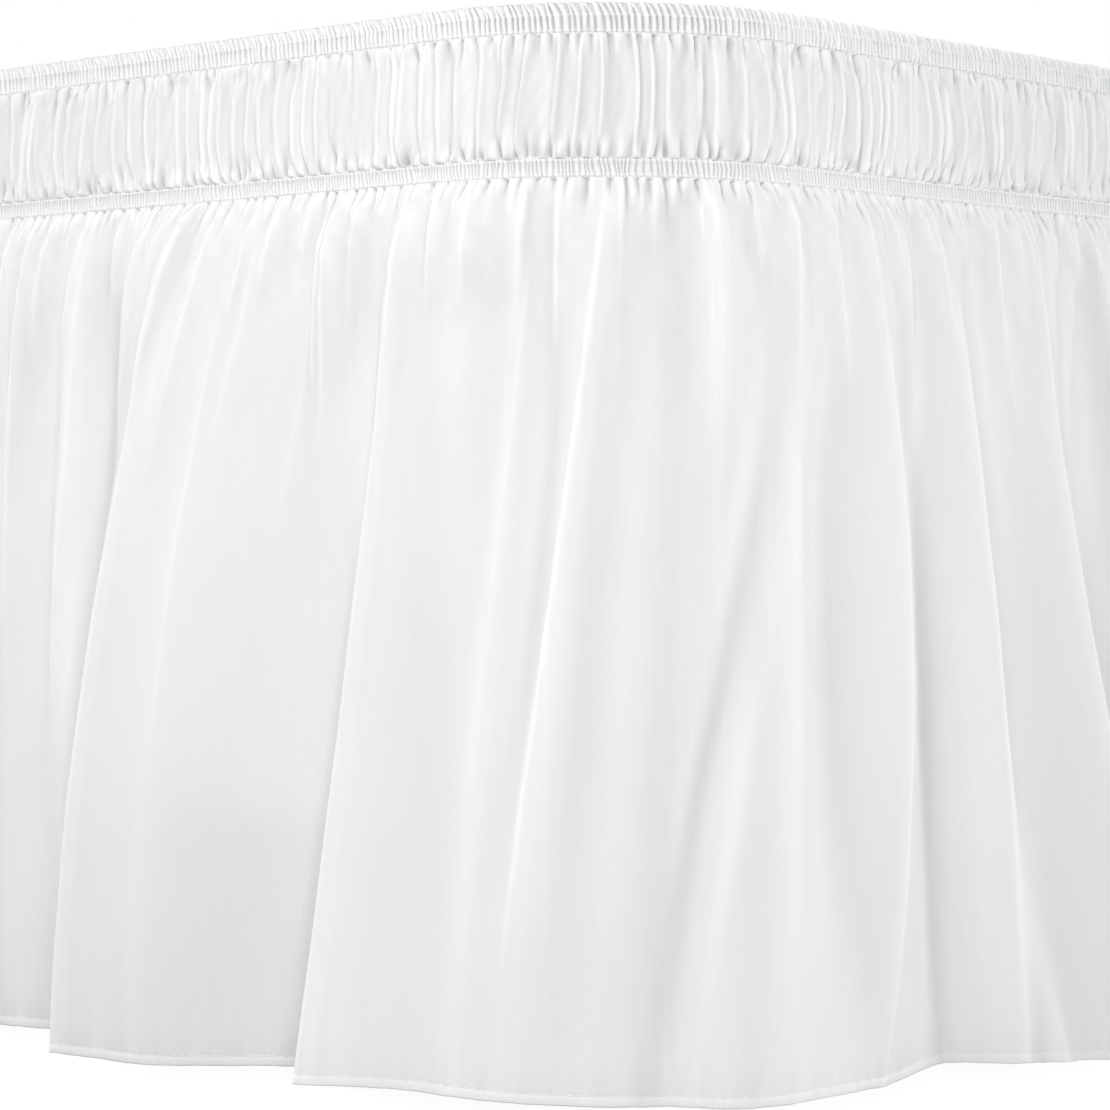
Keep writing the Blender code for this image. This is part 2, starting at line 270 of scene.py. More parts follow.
LAMPS = (
    Lamp("near_softbox", (1.35, -1.97, 0.42), (0.45, -0.92, 0.25), (0.5, 0.3), 7.3),
    Lamp("front_softbox", (1.33, -1.94, 0.95), (0.45, -0.92, 0.28), (0.9, 0.5), 6.2),
    Lamp("key_softbox", (-0.35, -2.55, 1.45), (0.45, -0.92, 0.28), (1.5, 0.9), 13.4),
    Lamp("left_softbox", (-1.7, -1.85, 0.6), (0.2, -0.9, 0.2), (0.8, 0.8), 14.0),
    Lamp("right_softbox", (4.4, 4.0, 0.45), (0.5, -0.7, 0.25), (2.9, 2.9), 205.0),
    Lamp("back_softbox", (-2.4, 2.6, 2.2), (0.0, 0.4, 0.2), (2.0, 2.0), 34.0),
)


@dataclass(frozen=True)
class Ring:
    """The ring that the elastic makes round the box spring, at the middle of the cloth."""

    half_width: float = 0.4840
    half_length: float = 0.9540
    radius: float = 0.0935

    @property
    def quarter_arc(self) -> float:
        """Length of the ring round one corner."""
        return self.radius * math.pi / 2

    @property
    def runs(self) -> tuple[float, float, float, float]:
        """The straight run after each corner."""
        side, end = (2 * (half - self.radius) for half in (self.half_length, self.half_width))
        return side, end, side, end

    @property
    def length(self) -> float:
        """Length of the whole ring."""
        return 4 * self.quarter_arc + sum(self.runs)

    def corner_places(self) -> list[float]:
        """List the corners along the ring.

        Returns:
            u at the middle of each corner, and the ring's length last.
        """
        places = [0.0]
        for run in self.runs:
            places.append(places[-1] + run + self.quarter_arc)
        return places

    def shorter(self, gap: float | np.ndarray) -> float | np.ndarray:
        """Return distances along the ring with their signs, taken the shorter way round."""
        half = self.length / 2
        return (gap + half) % self.length - half

    def corner_gap(self, place: float) -> float:
        """Return the signed distance along the ring from the nearest corner to a place."""
        return min((self.shorter(place - corner) for corner in self.corner_places()), key=abs)

    def spot(self, u: np.ndarray, out: np.ndarray) -> np.ndarray:
        """Return the plan of points at distances along and out from the ring.

        Args:
            u: Distances round the ring.
            out: Distances out from it, of the same shape.

        Returns:
            The x and y of each point, in a last axis of two.
        """
        along = np.mod(u + self.quarter_arc / 2, self.length)
        plan = np.zeros((*along.shape, 2))
        start = 0.0
        sides = ((1, -1), (1, 1), (-1, 1), (-1, -1))
        for number, ((side_x, side_y), run) in enumerate(zip(sides, self.runs)):
            here = (along >= start) & (along < start + self.quarter_arc + run)
            local = along[here] - start
            exit_angle = number * math.pi / 2
            angle = exit_angle - math.pi / 2 + np.minimum(local, self.quarter_arc) / self.radius
            walked = np.maximum(local - self.quarter_arc, 0)
            reach = self.radius + out[here]
            plan[here, 0] = (side_x * (self.half_width - self.radius) + reach * np.cos(angle)
                             - walked * math.sin(exit_angle))
            plan[here, 1] = (side_y * (self.half_length - self.radius) + reach * np.sin(angle)
                             + walked * math.cos(exit_angle))
            start += self.quarter_arc + run
        return plan


@dataclass
class Folds:
    """The main folds and creases of the falling cloth, on the lines of the solids'.

    Past the front corner each fold is a crest with a valley at its side. Those folds, and the
    creases and crisp lines on them, come from seeded random draws.
    """

    ring: Ring
    seed: int = 21
    margin: float = 0.065
    front_end: float = 0.300
    corner_reach: float = 0.52
    fold_gap: Range = (0.088, 0.145)
    turn_gap: float = 0.042
    crest_hem: Range = (0.032, 0.060)
    crest_mid: Range = (0.50, 0.68)
    crest_slide: Range = (0.32, 0.46)
    valley_hem: Range = (0.006, 0.014)
    valley_mid: float = 0.6
    valley_slide: float = 0.006
    flank: Range = (0.030, 0.042)
    least_hem_out: float = 0.006
    crease_margin: float = 0.045
    crease_start: float = 0.07
    crease_gap: Range = (0.030, 0.052)
    crease_turn: Range = (-0.010, 0.010)
    crease_height: Range = (0.0025, 0.0050)
    crease_half_width: Range = (0.013, 0.018)
    crease_first: float = -0.08
    crease_last: Range = (0.35, 0.95)
    trough_share: float = 0.25
    line_start: float = 0.05
    line_gap: Range = (0.018, 0.044)
    line_turn: Range = (-0.012, 0.012)
    line_bend: Range = (-0.004, 0.004)
    line_height: Range = (0.0010, 0.0028)
    line_reach: Range = (0.003, 0.008)
    line_first: float = -0.05
    line_last: Range = (0.3, 1.0)
    line_fading: float = 0.7
    stations: list[Station] = field(init=False)
    creases: list[Crease] = field(init=False)
    lines: list[Line] = field(init=False)

    def __post_init__(self) -> None:
        """Lay out the folds and the creases all the way round."""
        self.stations = self._all_stations()
        self.creases = self._all_creases()
        self.lines = self._all_lines()

    def _all_stations(self) -> list[Station]:
        """Lay out the stations all the way round.

        Returns:
            The front corner's stations and those of the rest of the bed, in rising order.
        """
        chance = random.Random(self.seed)
        stations = list(FRONT_STATIONS)
        place = self.front_end
        last = self.ring.length + FRONT_STATIONS[0].place - self.margin
        lean = 1.0
        while place < last:
            gap = self.ring.corner_gap(place)
            before = lean
            lean = math.copysign(1, gap) if abs(gap) < self.corner_reach else chance.choice((-1, 1))
            if lean < before:
                place += self.turn_gap
            hem = chance.uniform(*self.crest_hem)
            mid = hem * chance.uniform(*self.crest_mid)
            slide = lean * hem * chance.uniform(*self.crest_slide)
            low = chance.uniform(*self.valley_hem)
            flank = chance.uniform(*self.flank)
            crest = Station(place, mid, hem, slide)
            valley = Station(place + lean * flank, self.valley_mid * low, low,
                             -lean * self.valley_slide)
            if max(valley.place, crest.place) < last:
                stations += (valley, crest) if lean < 0 else (crest, valley)
            place += chance.uniform(*self.fold_gap)
        return stations

    def _all_creases(self) -> list[Crease]:
        """Lay out the creases all the way round.

        Returns:
            The front corner's creases and those of the rest of the bed.
        """
        chance = random.Random(self.seed + 1)
        creases = list(FRONT_CREASES)
        place = self.front_end - self.crease_margin
        while place < self.ring.length + FRONT_CREASES[0].top - self.crease_margin:
            height = chance.uniform(*self.crease_height)
            if chance.random() < self.trough_share:
                height = -height
            foot = place + chance.uniform(*self.crease_turn)
            half_width = chance.uniform(*self.crease_half_width)
            last = chance.uniform(*self.crease_last)
            creases.append(Crease(place, foot, height, half_width, self.crease_first, last))
            place += chance.uniform(*self.crease_gap)
        return creases

    def _all_lines(self) -> list[Line]:
        """Lay out the crisp lines all the way round.

        Returns:
            The front corner's lines and those of the rest of the bed, of which a third are
            furrows.
        """
        chance = random.Random(self.seed + 2)
        lines = list(FRONT_LINES)
        place = FRONT_LINES[-1].foot + self.crease_margin / 2
        while place < self.ring.length + FRONT_LINES[0].foot - self.crease_margin / 2:
            turn = chance.uniform(*self.line_turn)
            bend = chance.uniform(*self.line_bend)
            height = chance.choice((1, 1, -1)) * chance.uniform(*self.line_height)
            left, right = chance.uniform(*self.line_reach), chance.uniform(*self.line_reach)
            last = chance.uniform(*self.line_last)
            lines.append(Line(place, place + turn / 3 + bend, place + 2 * turn / 3 + bend,
                              place + turn, height, left, right, self.line_first, last))
            place += chance.uniform(*self.line_gap)
        return lines

    def _eased(self, u: np.ndarray, values: Sequence[float]) -> np.ndarray:
        """Ease one value of the stations with a half cosine from each to the next.

        Args:
            u: Places of the columns, along the ring.
            values: The stations' values, in their order.

        Returns:
            The value at each place.
        """
        places = np.array([station.place for station in self.stations])
        places = np.append(places, places[0] + self.ring.length)
        levels = np.array((*values, values[0]))
        along = (u - places[0]) % self.ring.length + places[0]
        left = np.clip(np.searchsorted(places, along, side="right") - 1, 0, len(places) - 2)
        share = (along - places[left]) / (places[left + 1] - places[left])
        share = (1 - np.cos(math.pi * share)) / 2
        return levels[left] + share * (levels[left + 1] - levels[left])

    def shape(self, u: np.ndarray, drop: np.ndarray) -> tuple[np.ndarray, np.ndarray]:
        """Return how far the cloth stands out of the ring and slides along it.

        Args:
            u: Places of the columns, along the ring.
            drop: Drops of the rows, from 0 to 1.

        Returns:
            Two grids, a row for each drop and a column for each place.
        """
        across, down = u[None, :], drop[:, None]
        _, *levels = zip(*self.stations)
        mid, hem, slide = (self._eased(u, values)[None, :] for values in levels)
        out = (4 * mid - hem) * down + (2 * hem - 4 * mid) * down ** 2
        for crease in self.creases:
            centre = crease.top + (crease.foot - crease.top) * down
            away = self.ring.shorter(across - centre)
            near = np.clip(np.abs(away) / crease.half_width, 0, 1)
            fade = self._strength(crease, down) * np.minimum(down / self.crease_start, 1)
            out = out + crease.height * np.cos(near * math.pi / 2) ** 2 * fade
        out = np.maximum(out, self.least_hem_out * down)
        return out + self._lines(across, down), slide * down

    def _lines(self, across: np.ndarray, down: np.ndarray) -> np.ndarray:
        """Work out how far the crisp lines lift the cloth.

        Args:
            across: Places of the columns, as one row.
            down: Drops of the rows, as one column.

        Returns:
            A grid with a row for each drop and a column for each place.
        """
        lifted = np.zeros((down.shape[0], across.shape[1]))
        for line in self.lines:
            centre = np.interp(down, (0, 1 / 3, 2 / 3, 1),
                               (line.top, line.third, line.two_thirds, line.foot))
            away = self.ring.shorter(across - centre)
            reach = np.where(away < 0, line.left, line.right)
            fade = self._strength(line, down) ** self.line_fading
            fade = fade * np.minimum(down / self.line_start, 1)
            lifted += line.height * fade * np.exp(-np.abs(away) / reach)
        return lifted

    def _strength(self, form: Crease | Line, down: np.ndarray) -> np.ndarray:
        """Return how strong a crease or a line is, from its first drop to its last."""
        when = np.clip((down - form.first) / (form.last - form.first), 0, 1)
        return np.sin(when * math.pi)


@dataclass
class Gathers:
    """Small folds of one size that fan out below a line of stitches.

    Most are short, each is broader on one side than on the other, and near a corner they drift
    away from it.
    """

    ring: Ring
    seed: int
    pitch: Range
    height: Range
    length: Range
    rise: float
    spread: float = 0.8
    sharpness: float = 2.0
    shortness: float = 1.6
    least_drift: float = 0.002
    drift: float = 0.12
    stray: float = 0.03
    plump: Range = (0.62, 0.90)
    lopsided: Range = (0.35, 0.80)
    fading: float = 1.3
    members: list[Gather] = field(init=False)

    def __post_init__(self) -> None:
        """Place the gathers round the ring."""
        chance = random.Random(self.seed)
        self.members = []
        place = 0.0
        while place < self.ring.length - self.pitch[0] / 2:
            pitch = chance.uniform(*self.pitch)
            gap = self.ring.corner_gap(place)
            lean = math.tanh(gap / FAN_REACH)
            share = chance.random() ** self.shortness
            length = self.length[0] + share * (self.length[1] - self.length[0])
            drift = (lean * (self.least_drift + self.drift * length)
                     + chance.uniform(-self.stray, self.stray) * length)
            side = math.copysign(1, lean + chance.uniform(-1, 1))
            height = chance.uniform(*self.height)
            half_width = pitch * chance.uniform(*self.plump)
            self.members.append(Gather(place, drift, height, half_width, length,
                                       side * chance.uniform(*self.lopsided)))
            place += pitch

    def relief(self, u: np.ndarray, fall: np.ndarray) -> np.ndarray:
        """Return how far the gathers lift the cloth.

        Args:
            u: Places of the columns, in rising order.
            fall: Distances of the rows from the stitches.

        Returns:
            A grid with a row for each fall and a column for each place.
        """
        lifted = np.zeros((fall.size, u.size))
        middle = (u[0] + u[-1]) / 2
        for gather in self.members:
            turns = round((middle - gather.place) / self.ring.length)
            place = gather.place + turns * self.ring.length
            broadest = gather.half_width * (1 + self.spread) * (1 + self.lopsided[1])
            reach = broadest + abs(gather.drift)
            first, last = np.searchsorted(u, (place - reach, place + reach))
            rows = np.searchsorted(fall, gather.length)
            if first == last or rows == 0:
                continue
            down = fall[:rows, None]
            share = np.clip(down / gather.length, 0, 1)
            centre = place + gather.drift * share
            away = u[None, first:last] - centre
            width = gather.half_width * (1 + self.spread * share)
            width = width * (1 - gather.lean * np.sign(away))
            near = np.clip(np.abs(away) / width, 0, 1)
            fade = np.cos(share * math.pi / 2) ** self.fading
            fade = fade * (1 - np.exp(-np.maximum(down, 0) / self.rise))
            lifted[:rows, first:last] += gather.height * fade * (1 - near) ** self.sharpness
        return lifted


@dataclass
class Furrows:
    """Short dark furrows between the heads of the gathers, close to a line of stitches."""

    ring: Ring
    seed: int
    pitch: Range
    depth: Range
    length: Range
    width: float = 0.0010
    lip: float = 0.0004
    places: np.ndarray = field(init=False)
    depths: np.ndarray = field(init=False)
    lengths: np.ndarray = field(init=False)

    def __post_init__(self) -> None:
        """Place the furrows round the ring."""
        chance = random.Random(self.seed)
        places = [-self.ring.length / 2]
        while places[-1] < self.ring.length / 2 + self.pitch[1]:
            places.append(places[-1] + chance.uniform(*self.pitch))
        self.places = np.array(places)
        self.depths = np.array([chance.uniform(*self.depth) for _ in places])
        self.lengths = np.array([chance.uniform(*self.length) for _ in places])

    def relief(self, u: np.ndarray, fall: np.ndarray) -> np.ndarray:
        """Return how far the furrows sink the cloth, as negative lifts.

        Args:
            u: Places of the columns.
            fall: Distances of the rows from the stitches.

        Returns:
            A grid with a row for each fall and a column for each place.
        """
        around = self.ring.shorter(u)
        after = np.clip(np.searchsorted(self.places, around), 1, len(self.places) - 1)
        before = after - 1
        nearer = around - self.places[before] < self.places[after] - around
        nearest = np.where(nearer, before, after)
        across = np.exp(-((around - self.places[nearest]) / self.width) ** 2)
        down = np.maximum(fall, 0)[:, None]
        fade = np.exp(-(down / self.lengths[nearest][None, :]) ** 2) * (1 - np.exp(-down / self.lip))
        return -self.depths[nearest][None, :] * across[None, :] * fade


@dataclass
class Pleating:
    """Crests that run down a shirred band, each with its own width, wander and height."""

    ring: Ring
    seed: int
    width: Range
    wander: float
    bow: float
    drift: float = 0.0
    uneven: float = 0.35
    drawn: int = 1
    tops: np.ndarray = field(init=False)
    feet: np.ndarray = field(init=False)
    bows: np.ndarray = field(init=False)
    twists: np.ndarray = field(init=False)
    heights: np.ndarray = field(init=False)
    leans: np.ndarray = field(init=False)

    def __post_init__(self) -> None:
        """Share the ring among the pleats."""
        chance = random.Random(self.seed)
        count = round(self.ring.length / math.sqrt(self.width[0] * self.width[1]))
        least, most = self.width
        widths = np.array([least * (most / least) ** chance.random() for _ in range(count)])
        widths *= self.ring.length / widths.sum()
        self.tops = np.concatenate(([0.0], np.cumsum(widths))) - self.ring.length / 2
        gaps = np.array([self.ring.corner_gap(place) for place in self.tops])
        self.leans = np.tanh(gaps / FAN_REACH)
        self.feet = self.tops + self.drift * self.leans + self._spread(chance, self.wander)
        self.bows = 0.5 * self.bow * self.leans + self._spread(chance, self.bow)
        self.twists = self._spread(chance, self.bow)
        self.heights = 1 + self._spread(chance, self.uneven)
        self.feet[-1] = self.feet[0] + self.ring.length
        for values in (self.bows, self.twists, self.heights, self.leans):
            values[-1] = values[0]

    def _spread(self, chance: random.Random, reach: float) -> np.ndarray:
        """Draw a value for each crest, then draw each towards its neighbours.

        Args:
            chance: Where the values come from.
            reach: How far from 0 they may be.

        Returns:
            One value for each crest.
        """
        values = np.array([chance.uniform(-reach, reach) for _ in self.tops])
        for _ in range(self.drawn):
            values = 0.5 * values + 0.25 * (np.roll(values, 1) + np.roll(values, -1))
        return values

    def columns(self, fine: Sequence[float], coarse: Sequence[float]) -> tuple[np.ndarray, np.ndarray]:
        """Return the pleat and the share across it of each column.

        Args:
            fine: Shares across a pleat where it faces the camera.
            coarse: Shares across a pleat elsewhere.

        Returns:
            The pleats' numbers and the shares, with the end of the last pleat added.
        """
        pleats: list[int] = []
        shares: list[float] = []
        for number, place in enumerate(self.tops[:-1]):
            chosen = fine if abs(place) < FRONT_REACH else coarse
            pleats += [number] * len(chosen)
            shares += chosen
        pleats.append(len(self.tops) - 2)
        shares.append(1.0)
        return np.array(pleats), np.array(shares)

    def mixed(self, values: np.ndarray, pleats: np.ndarray, shares: np.ndarray) -> np.ndarray:
        """Return the crests' values mixed across the pleats."""
        return values[pleats] * (1 - shares) + values[pleats + 1] * shares

    def place(self, pleats: np.ndarray, shares: np.ndarray, down: np.ndarray) -> np.ndarray:
        """Place the columns of cloth on each row.

        Args:
            pleats: The pleat of each column.
            shares: The share across it of each column.
            down: How far down each row lies, 0 at the top and 1 at the foot.

        Returns:
            u of each column on each row, as a grid.
        """
        tops, feet, bows, twists = (self.mixed(values, pleats, shares)[None, :]
                                    for values in (self.tops, self.feet, self.bows, self.twists))
        share = down[:, None]
        swing = bows * np.sin(share * math.pi) + 0.5 * twists * np.sin(share * 2 * math.pi)
        return tops + (feet - tops) * share + swing

    @property
    def cut_width(self) -> float:
        """Mean length of cloth in a pleat."""
        return self.ring.length / (len(self.tops) - 1) * FULLNESS

    def cloth(self, pleats: np.ndarray, shares: np.ndarray, heights: np.ndarray) -> np.ndarray:
        """Return the cloth's own coordinates in metres, from its columns and its rows' heights."""
        along = (pleats + shares)[None, :] * self.cut_width
        return np.dstack(np.broadcast_arrays(along, heights[:, None]))


def maths(operation: str, mirrored: bool = False) -> "Callable[..., Signal]":
    """Make a method of Signal that stands for one operation of the Math node.

    Args:
        operation: The node's operation.
        mirrored: True for a reflected form, whose operand comes before the signal.

    Returns:
        The method.
    """
    def method(signal: "Signal", *others: "Operand") -> "Signal":
        """Return the operation's result on a signal and the operands, if it takes any."""
        operands = (*others, signal) if mirrored else (signal, *others)
        made = signal.bench.node("ShaderNodeMath", {"operation": operation}, dict(enumerate(operands)))
        return Signal(signal.bench, made.outputs[0])

    return method


@dataclass
class Signal:
    """A number that changes over a surface, held as a socket, with Python's own maths.

    Besides the operators, below gives 1 where the signal is less than a limit and 0 elsewhere,
    capped and floored the lesser and the greater of the two, and wave the signal's sine.
    """

    bench: "NodeBench"
    socket: bpy.types.NodeSocket

    __add__ = maths("ADD")
    __radd__ = maths("ADD", mirrored=True)
    __sub__ = maths("SUBTRACT")
    __rsub__ = maths("SUBTRACT", mirrored=True)
    __mul__ = maths("MULTIPLY")
    __rmul__ = maths("MULTIPLY", mirrored=True)
    __truediv__ = maths("DIVIDE")
    __rtruediv__ = maths("DIVIDE", mirrored=True)
    __pow__ = maths("POWER")
    __rpow__ = maths("POWER", mirrored=True)
    __mod__ = maths("FLOORED_MODULO")
    __rmod__ = maths("FLOORED_MODULO", mirrored=True)
    __abs__ = maths("ABSOLUTE")
    below = maths("LESS_THAN")
    capped = maths("MINIMUM")
    floored = maths("MAXIMUM")
    wave = maths("SINE")


Operand = Signal | bpy.types.NodeSocket | float | tuple[float, ...]


def tint(colour: Triple, share: float = 1.0) -> tuple[float, float, float, float]:
    """Return a share of a colour, with its alpha."""
    return (colour[0] * share, colour[1] * share, colour[2] * share, 1.0)


class NodeBench:
    """A node tree being filled, with the one method that makes its nodes."""

    def __init__(self, tree: bpy.types.NodeTree) -> None:
        """Take up a node tree."""
        self.tree = tree

    def feed(self, socket: bpy.types.NodeSocket, value: Operand) -> None:
        """Set one socket to a value, or link it.

        Args:
            socket: The socket to feed.
            value: A plain value, or what is linked to it.
        """
        if isinstance(value, Signal):
            value = value.socket
        if isinstance(value, bpy.types.NodeSocket):
            self.tree.links.new(value, socket)
        else:
            socket.default_value = value

    def node(self, kind: str, settings: dict | None = None,
             inputs: dict[int | str, Operand] | None = None) -> bpy.types.Node:
        """Make a node.

        Args:
            kind: The node's type.
            settings: Its own settings, set first.
            inputs: Values or links of its sockets, by name or number.

        Returns:
            The new node.
        """
        made = self.tree.nodes.new(kind)
        for key, value in (settings or {}).items():
            setattr(made, key, value)
        for key, value in (inputs or {}).items():
            self.feed(made.inputs[key], value)
        return made


class Bench(NodeBench):
    """A material being made: its Principled shader and the nodes behind it."""

    def __init__(self, name: str, colour: Triple, roughness: float) -> None:
        """Start a material.

        Args:
            name: The material's name.
            colour: Its plain colour, also shown in the viewport.
            roughness: Its plain roughness.
        """
        self.material = bpy.data.materials.new(name)
        self.material.use_nodes = True
        self.material.diffuse_color = tint(colour)
        super().__init__(self.material.node_tree)
        self.shader = self.tree.nodes["Principled BSDF"]
        self.settle({"Base Color": tint(colour), "Roughness": roughness, "Metallic": 0.0})

    def settle(self, values: dict[str, Operand]) -> None:
        """Give the Principled shader's sockets their values or links."""
        for key, value in values.items():
            self.feed(self.shader.inputs[key], value)

    def place_on_cloth(self) -> tuple[bpy.types.NodeSocket, Signal, Signal]:
        """Read the cloth's own coordinates, in metres.

        Returns:
            The coordinates as one socket, then across and down as numbers.
        """
        uv = self.node("ShaderNodeUVMap", {"uv_map": "UVMap"}).outputs["UV"]
        parts = self.node("ShaderNodeSeparateXYZ", None, {0: uv})
        return uv, Signal(self, parts.outputs["X"]), Signal(self, parts.outputs["Y"])

    def place_in_space(self) -> bpy.types.NodeSocket:
        """Return Object coordinates."""
        return self.node("ShaderNodeTexCoord").outputs["Object"]

    def stored(self, name: str) -> Signal:
        """Return a number that the mesh holds at its points."""
        return Signal(self, self.node("ShaderNodeAttribute", {"attribute_name": name}).outputs["Fac"])

    def noise(self, where: bpy.types.NodeSocket, scale: Triple, detail: float = 2.0,
              roughness: float = 0.5) -> Signal:
        """Make noise with its own scale along each axis.

        Args:
            where: The coordinates that it is read at.
            scale: How many grains there are to a metre along each axis.
            detail: How many finer layers it has.
            roughness: How strong the finer layers are.

        Returns:
            A number from 0 to 1.
        """
        stretched = self.node("ShaderNodeVectorMath", {"operation": "MULTIPLY"},
                              {0: where, 1: scale})
        made = self.node("ShaderNodeTexNoise", {"noise_dimensions": "3D"},
                         {"Vector": stretched.outputs[0], "Scale": 1.0, "Detail": detail,
                          "Roughness": roughness})
        return Signal(self, made.outputs["Fac"])

    def blended(self, share: Operand, first: Operand, second: Operand) -> bpy.types.NodeSocket:
        """Return the mix of two colours, all of the second where share is 1."""
        made = self.node("ShaderNodeMix", {"data_type": "RGBA"}, {0: share, 6: first, 7: second})
        return made.outputs[2]

    def bumped(self, height: Signal, strength: float, distance: float) -> None:
        """Feed the shader's normal from a height."""
        inputs = {"Strength": strength, "Distance": distance, "Height": height}
        self.settle({"Normal": self.node("ShaderNodeBump", None, inputs).outputs["Normal"]})


@dataclass(frozen=True)
class Microfibre:
    """Fine white woven microfibre with a faint lengthwise slub."""

    name: str = "microfibre_white_cloth"
    colour: Triple = (0.835, 0.845, 0.840)
    # How dark the painted shade and how light the painted highlight make the colour, and how strongly
    # the stored tone moves it between them
    painted_shade_share: float = 0.60
    painted_highlight_share: float = 1.13
    level: float = 0.715
    painted_light_gain: float = 0.283
    mottle: float = 0.17
    roughness: float = 0.62
    roughness_spread: float = 0.12
    specular: float = 0.30
    sheen: float = 0.12
    sheen_roughness: float = 0.45
    slub_width: float = 0.0006
    slub_length: float = 0.011
    slub_share: float = 0.65
    streak_width: float = 0.0031
    streak_length: float = 0.050
    thread: float = 0.00045
    slub_relief: float = 0.7
    relief: float = 0.20
    relief_depth: float = 0.00016

    def make(self) -> bpy.types.Material:
        """Make the finish.

        Returns:
            The finished material.
        """
        bench = Bench(self.name, self.colour, self.roughness)
        uv, _, _ = bench.place_on_cloth()
        slub = bench.noise(uv, (1 / self.slub_width, 1 / self.slub_length, 1.0), roughness=0.6)
        streak = bench.noise(uv, (1 / self.streak_width, 1 / self.streak_length, 1.0), detail=1.0)
        grain = bench.noise(uv, (1 / self.thread, 1 / self.thread, 1.0), detail=1.0)
        weave = slub * self.slub_share + streak * (1 - self.slub_share) - 0.5
        # The stored tone paints highlight on crests and shade in valleys and furrows into the colour
        shade = weave * self.mottle + bench.stored(PAINTED_LIGHT_ATTRIBUTE) * self.painted_light_gain + self.level
        bench.settle({
            "Base Color": bench.blended(shade.floored(0.0).capped(1.0), tint(self.colour, self.painted_shade_share),
                                        tint(self.colour, self.painted_highlight_share)),
            "Roughness": self.roughness + (slub - 0.5) * self.roughness_spread,
            "Specular IOR Level": self.specular,
            "Sheen Weight": self.sheen,
            "Sheen Roughness": self.sheen_roughness,
        })
        height = slub * self.slub_relief + grain * (1 - self.slub_relief)
        bench.bumped(height, self.relief, self.relief_depth)
        return bench.material


@dataclass(frozen=True)
class ShirredCloth:
    """The same cloth drawn over elastic, with rows of lockstitch across its ribs."""

    name: str
    rows: tuple[float, ...]
    rib: float
    colour: Triple = (0.850, 0.860, 0.855)
    thread_colour: Triple = (0.97, 0.975, 0.97)
    # How dark the painted shade in the slits and how light the painted highlight on the ribs make the
    # colour, and how strongly the stored tone moves it between them
    painted_shade_share: float = 0.78
    painted_highlight_share: float = 1.11
    level: float = 0.5
    painted_light_gain: float = 0.5
    mottle: float = 0.15
    roughness: float = 0.66
    thread_gloss: float = 0.18
    specular: float = 0.30
    row_half_width: float = 0.00060
    stitch_half_length: float = 0.36
    grain_width: float = 0.0006
    grain_length: float = 0.0025
    stitch_relief: float = 0.6
    relief: float = 0.35
    relief_depth: float = 0.00030

    def make(self) -> bpy.types.Material:
        """Make the finish.

        Returns:
            The finished material.
        """
        bench = Bench(self.name, self.colour, self.roughness)
        uv, across, down = bench.place_on_cloth()
        inside = abs((across / self.rib) % 1.0 - 0.5).below(self.stitch_half_length)
        stitch = 0.0 * across
        for row in self.rows:
            near = 1.0 - abs(down - row) / self.row_half_width
            stitch = stitch.floored(near)
        stitch = stitch.floored(0.0) ** 0.5 * inside
        grain = bench.noise(uv, (1 / self.grain_width, 1 / self.grain_length, 1.0))
        # The stored tone paints highlight on the ribs and shade in the slits into the colour
        shade = (grain - 0.5) * self.mottle + bench.stored(PAINTED_LIGHT_ATTRIBUTE) * self.painted_light_gain + self.level
        drawn = bench.blended(shade.floored(0.0).capped(1.0), tint(self.colour, self.painted_shade_share),
                              tint(self.colour, self.painted_highlight_share))
        bench.settle({
            "Base Color": bench.blended(stitch.capped(1.0), drawn, tint(self.thread_colour)),
            "Roughness": self.roughness - stitch * self.thread_gloss,
            "Specular IOR Level": self.specular,
        })
        height = stitch * self.stitch_relief + grain * (1 - self.stitch_relief)
        bench.bumped(height, self.relief, self.relief_depth)
        return bench.material


@dataclass(frozen=True)
class SewingThread:
    """White polyester sewing thread."""

    name: str = "sewing_thread_white"
    colour: Triple = (0.93, 0.935, 0.93)
    shaded: float = 0.93
    roughness: float = 0.45
    twist: float = 0.0005
    relief: float = 0.3
    relief_depth: float = 0.0001

    def make(self) -> bpy.types.Material:
        """Make the finish.

        Returns:
            The finished material.
        """
        bench = Bench(self.name, self.colour, self.roughness)
        fuzz = bench.noise(bench.place_in_space(), (1 / self.twist,) * 3, detail=1.0)
        bench.settle({"Base Color": bench.blended(fuzz, tint(self.colour, self.shaded),
                                                  tint(self.colour))})
        bench.bumped(fuzz, self.relief, self.relief_depth)
        return bench.material


@dataclass(frozen=True)
class Ticking:
    """Plain off-white upholstery ticking in a fine twill."""

    name: str = "ticking_plain_twill"
    colour: Triple = (0.66, 0.65, 0.61)
    dark: float = 0.86
    light: float = 1.06
    roughness: float = 0.85
    twill: float = 0.0018
    twill_share: float = 0.35
    yarn: float = 0.0011
    yarn_share: float = 0.35
    mottle_scale: float = 9.0
    mottle_share: float = 0.30
    twill_relief: float = 0.6
    relief: float = 0.5
    relief_depth: float = 0.0003

    def make(self) -> bpy.types.Material:
        """Make the finish.

        Returns:
            The finished material.
        """
        bench = Bench(self.name, self.colour, self.roughness)
        where = bench.place_in_space()
        parts = bench.node("ShaderNodeSeparateXYZ", None, {0: where})
        x, y, z = (Signal(bench, parts.outputs[axis]) for axis in "XYZ")
        ridge = ((x + y + z) * (2 * math.pi / self.twill)).wave() * 0.5 + 0.5
        yarn = bench.noise(where, (1 / self.yarn,) * 3)
        mottle = bench.noise(where, (self.mottle_scale,) * 3, detail=3.0)
        shade = ridge * self.twill_share + yarn * self.yarn_share + mottle * self.mottle_share
        bench.settle({"Base Color": bench.blended(shade, tint(self.colour, self.dark),
                                                  tint(self.colour, self.light))})
        height = ridge * self.twill_relief + yarn * (1 - self.twill_relief)
        bench.bumped(height, self.relief, self.relief_depth)
        return bench.material


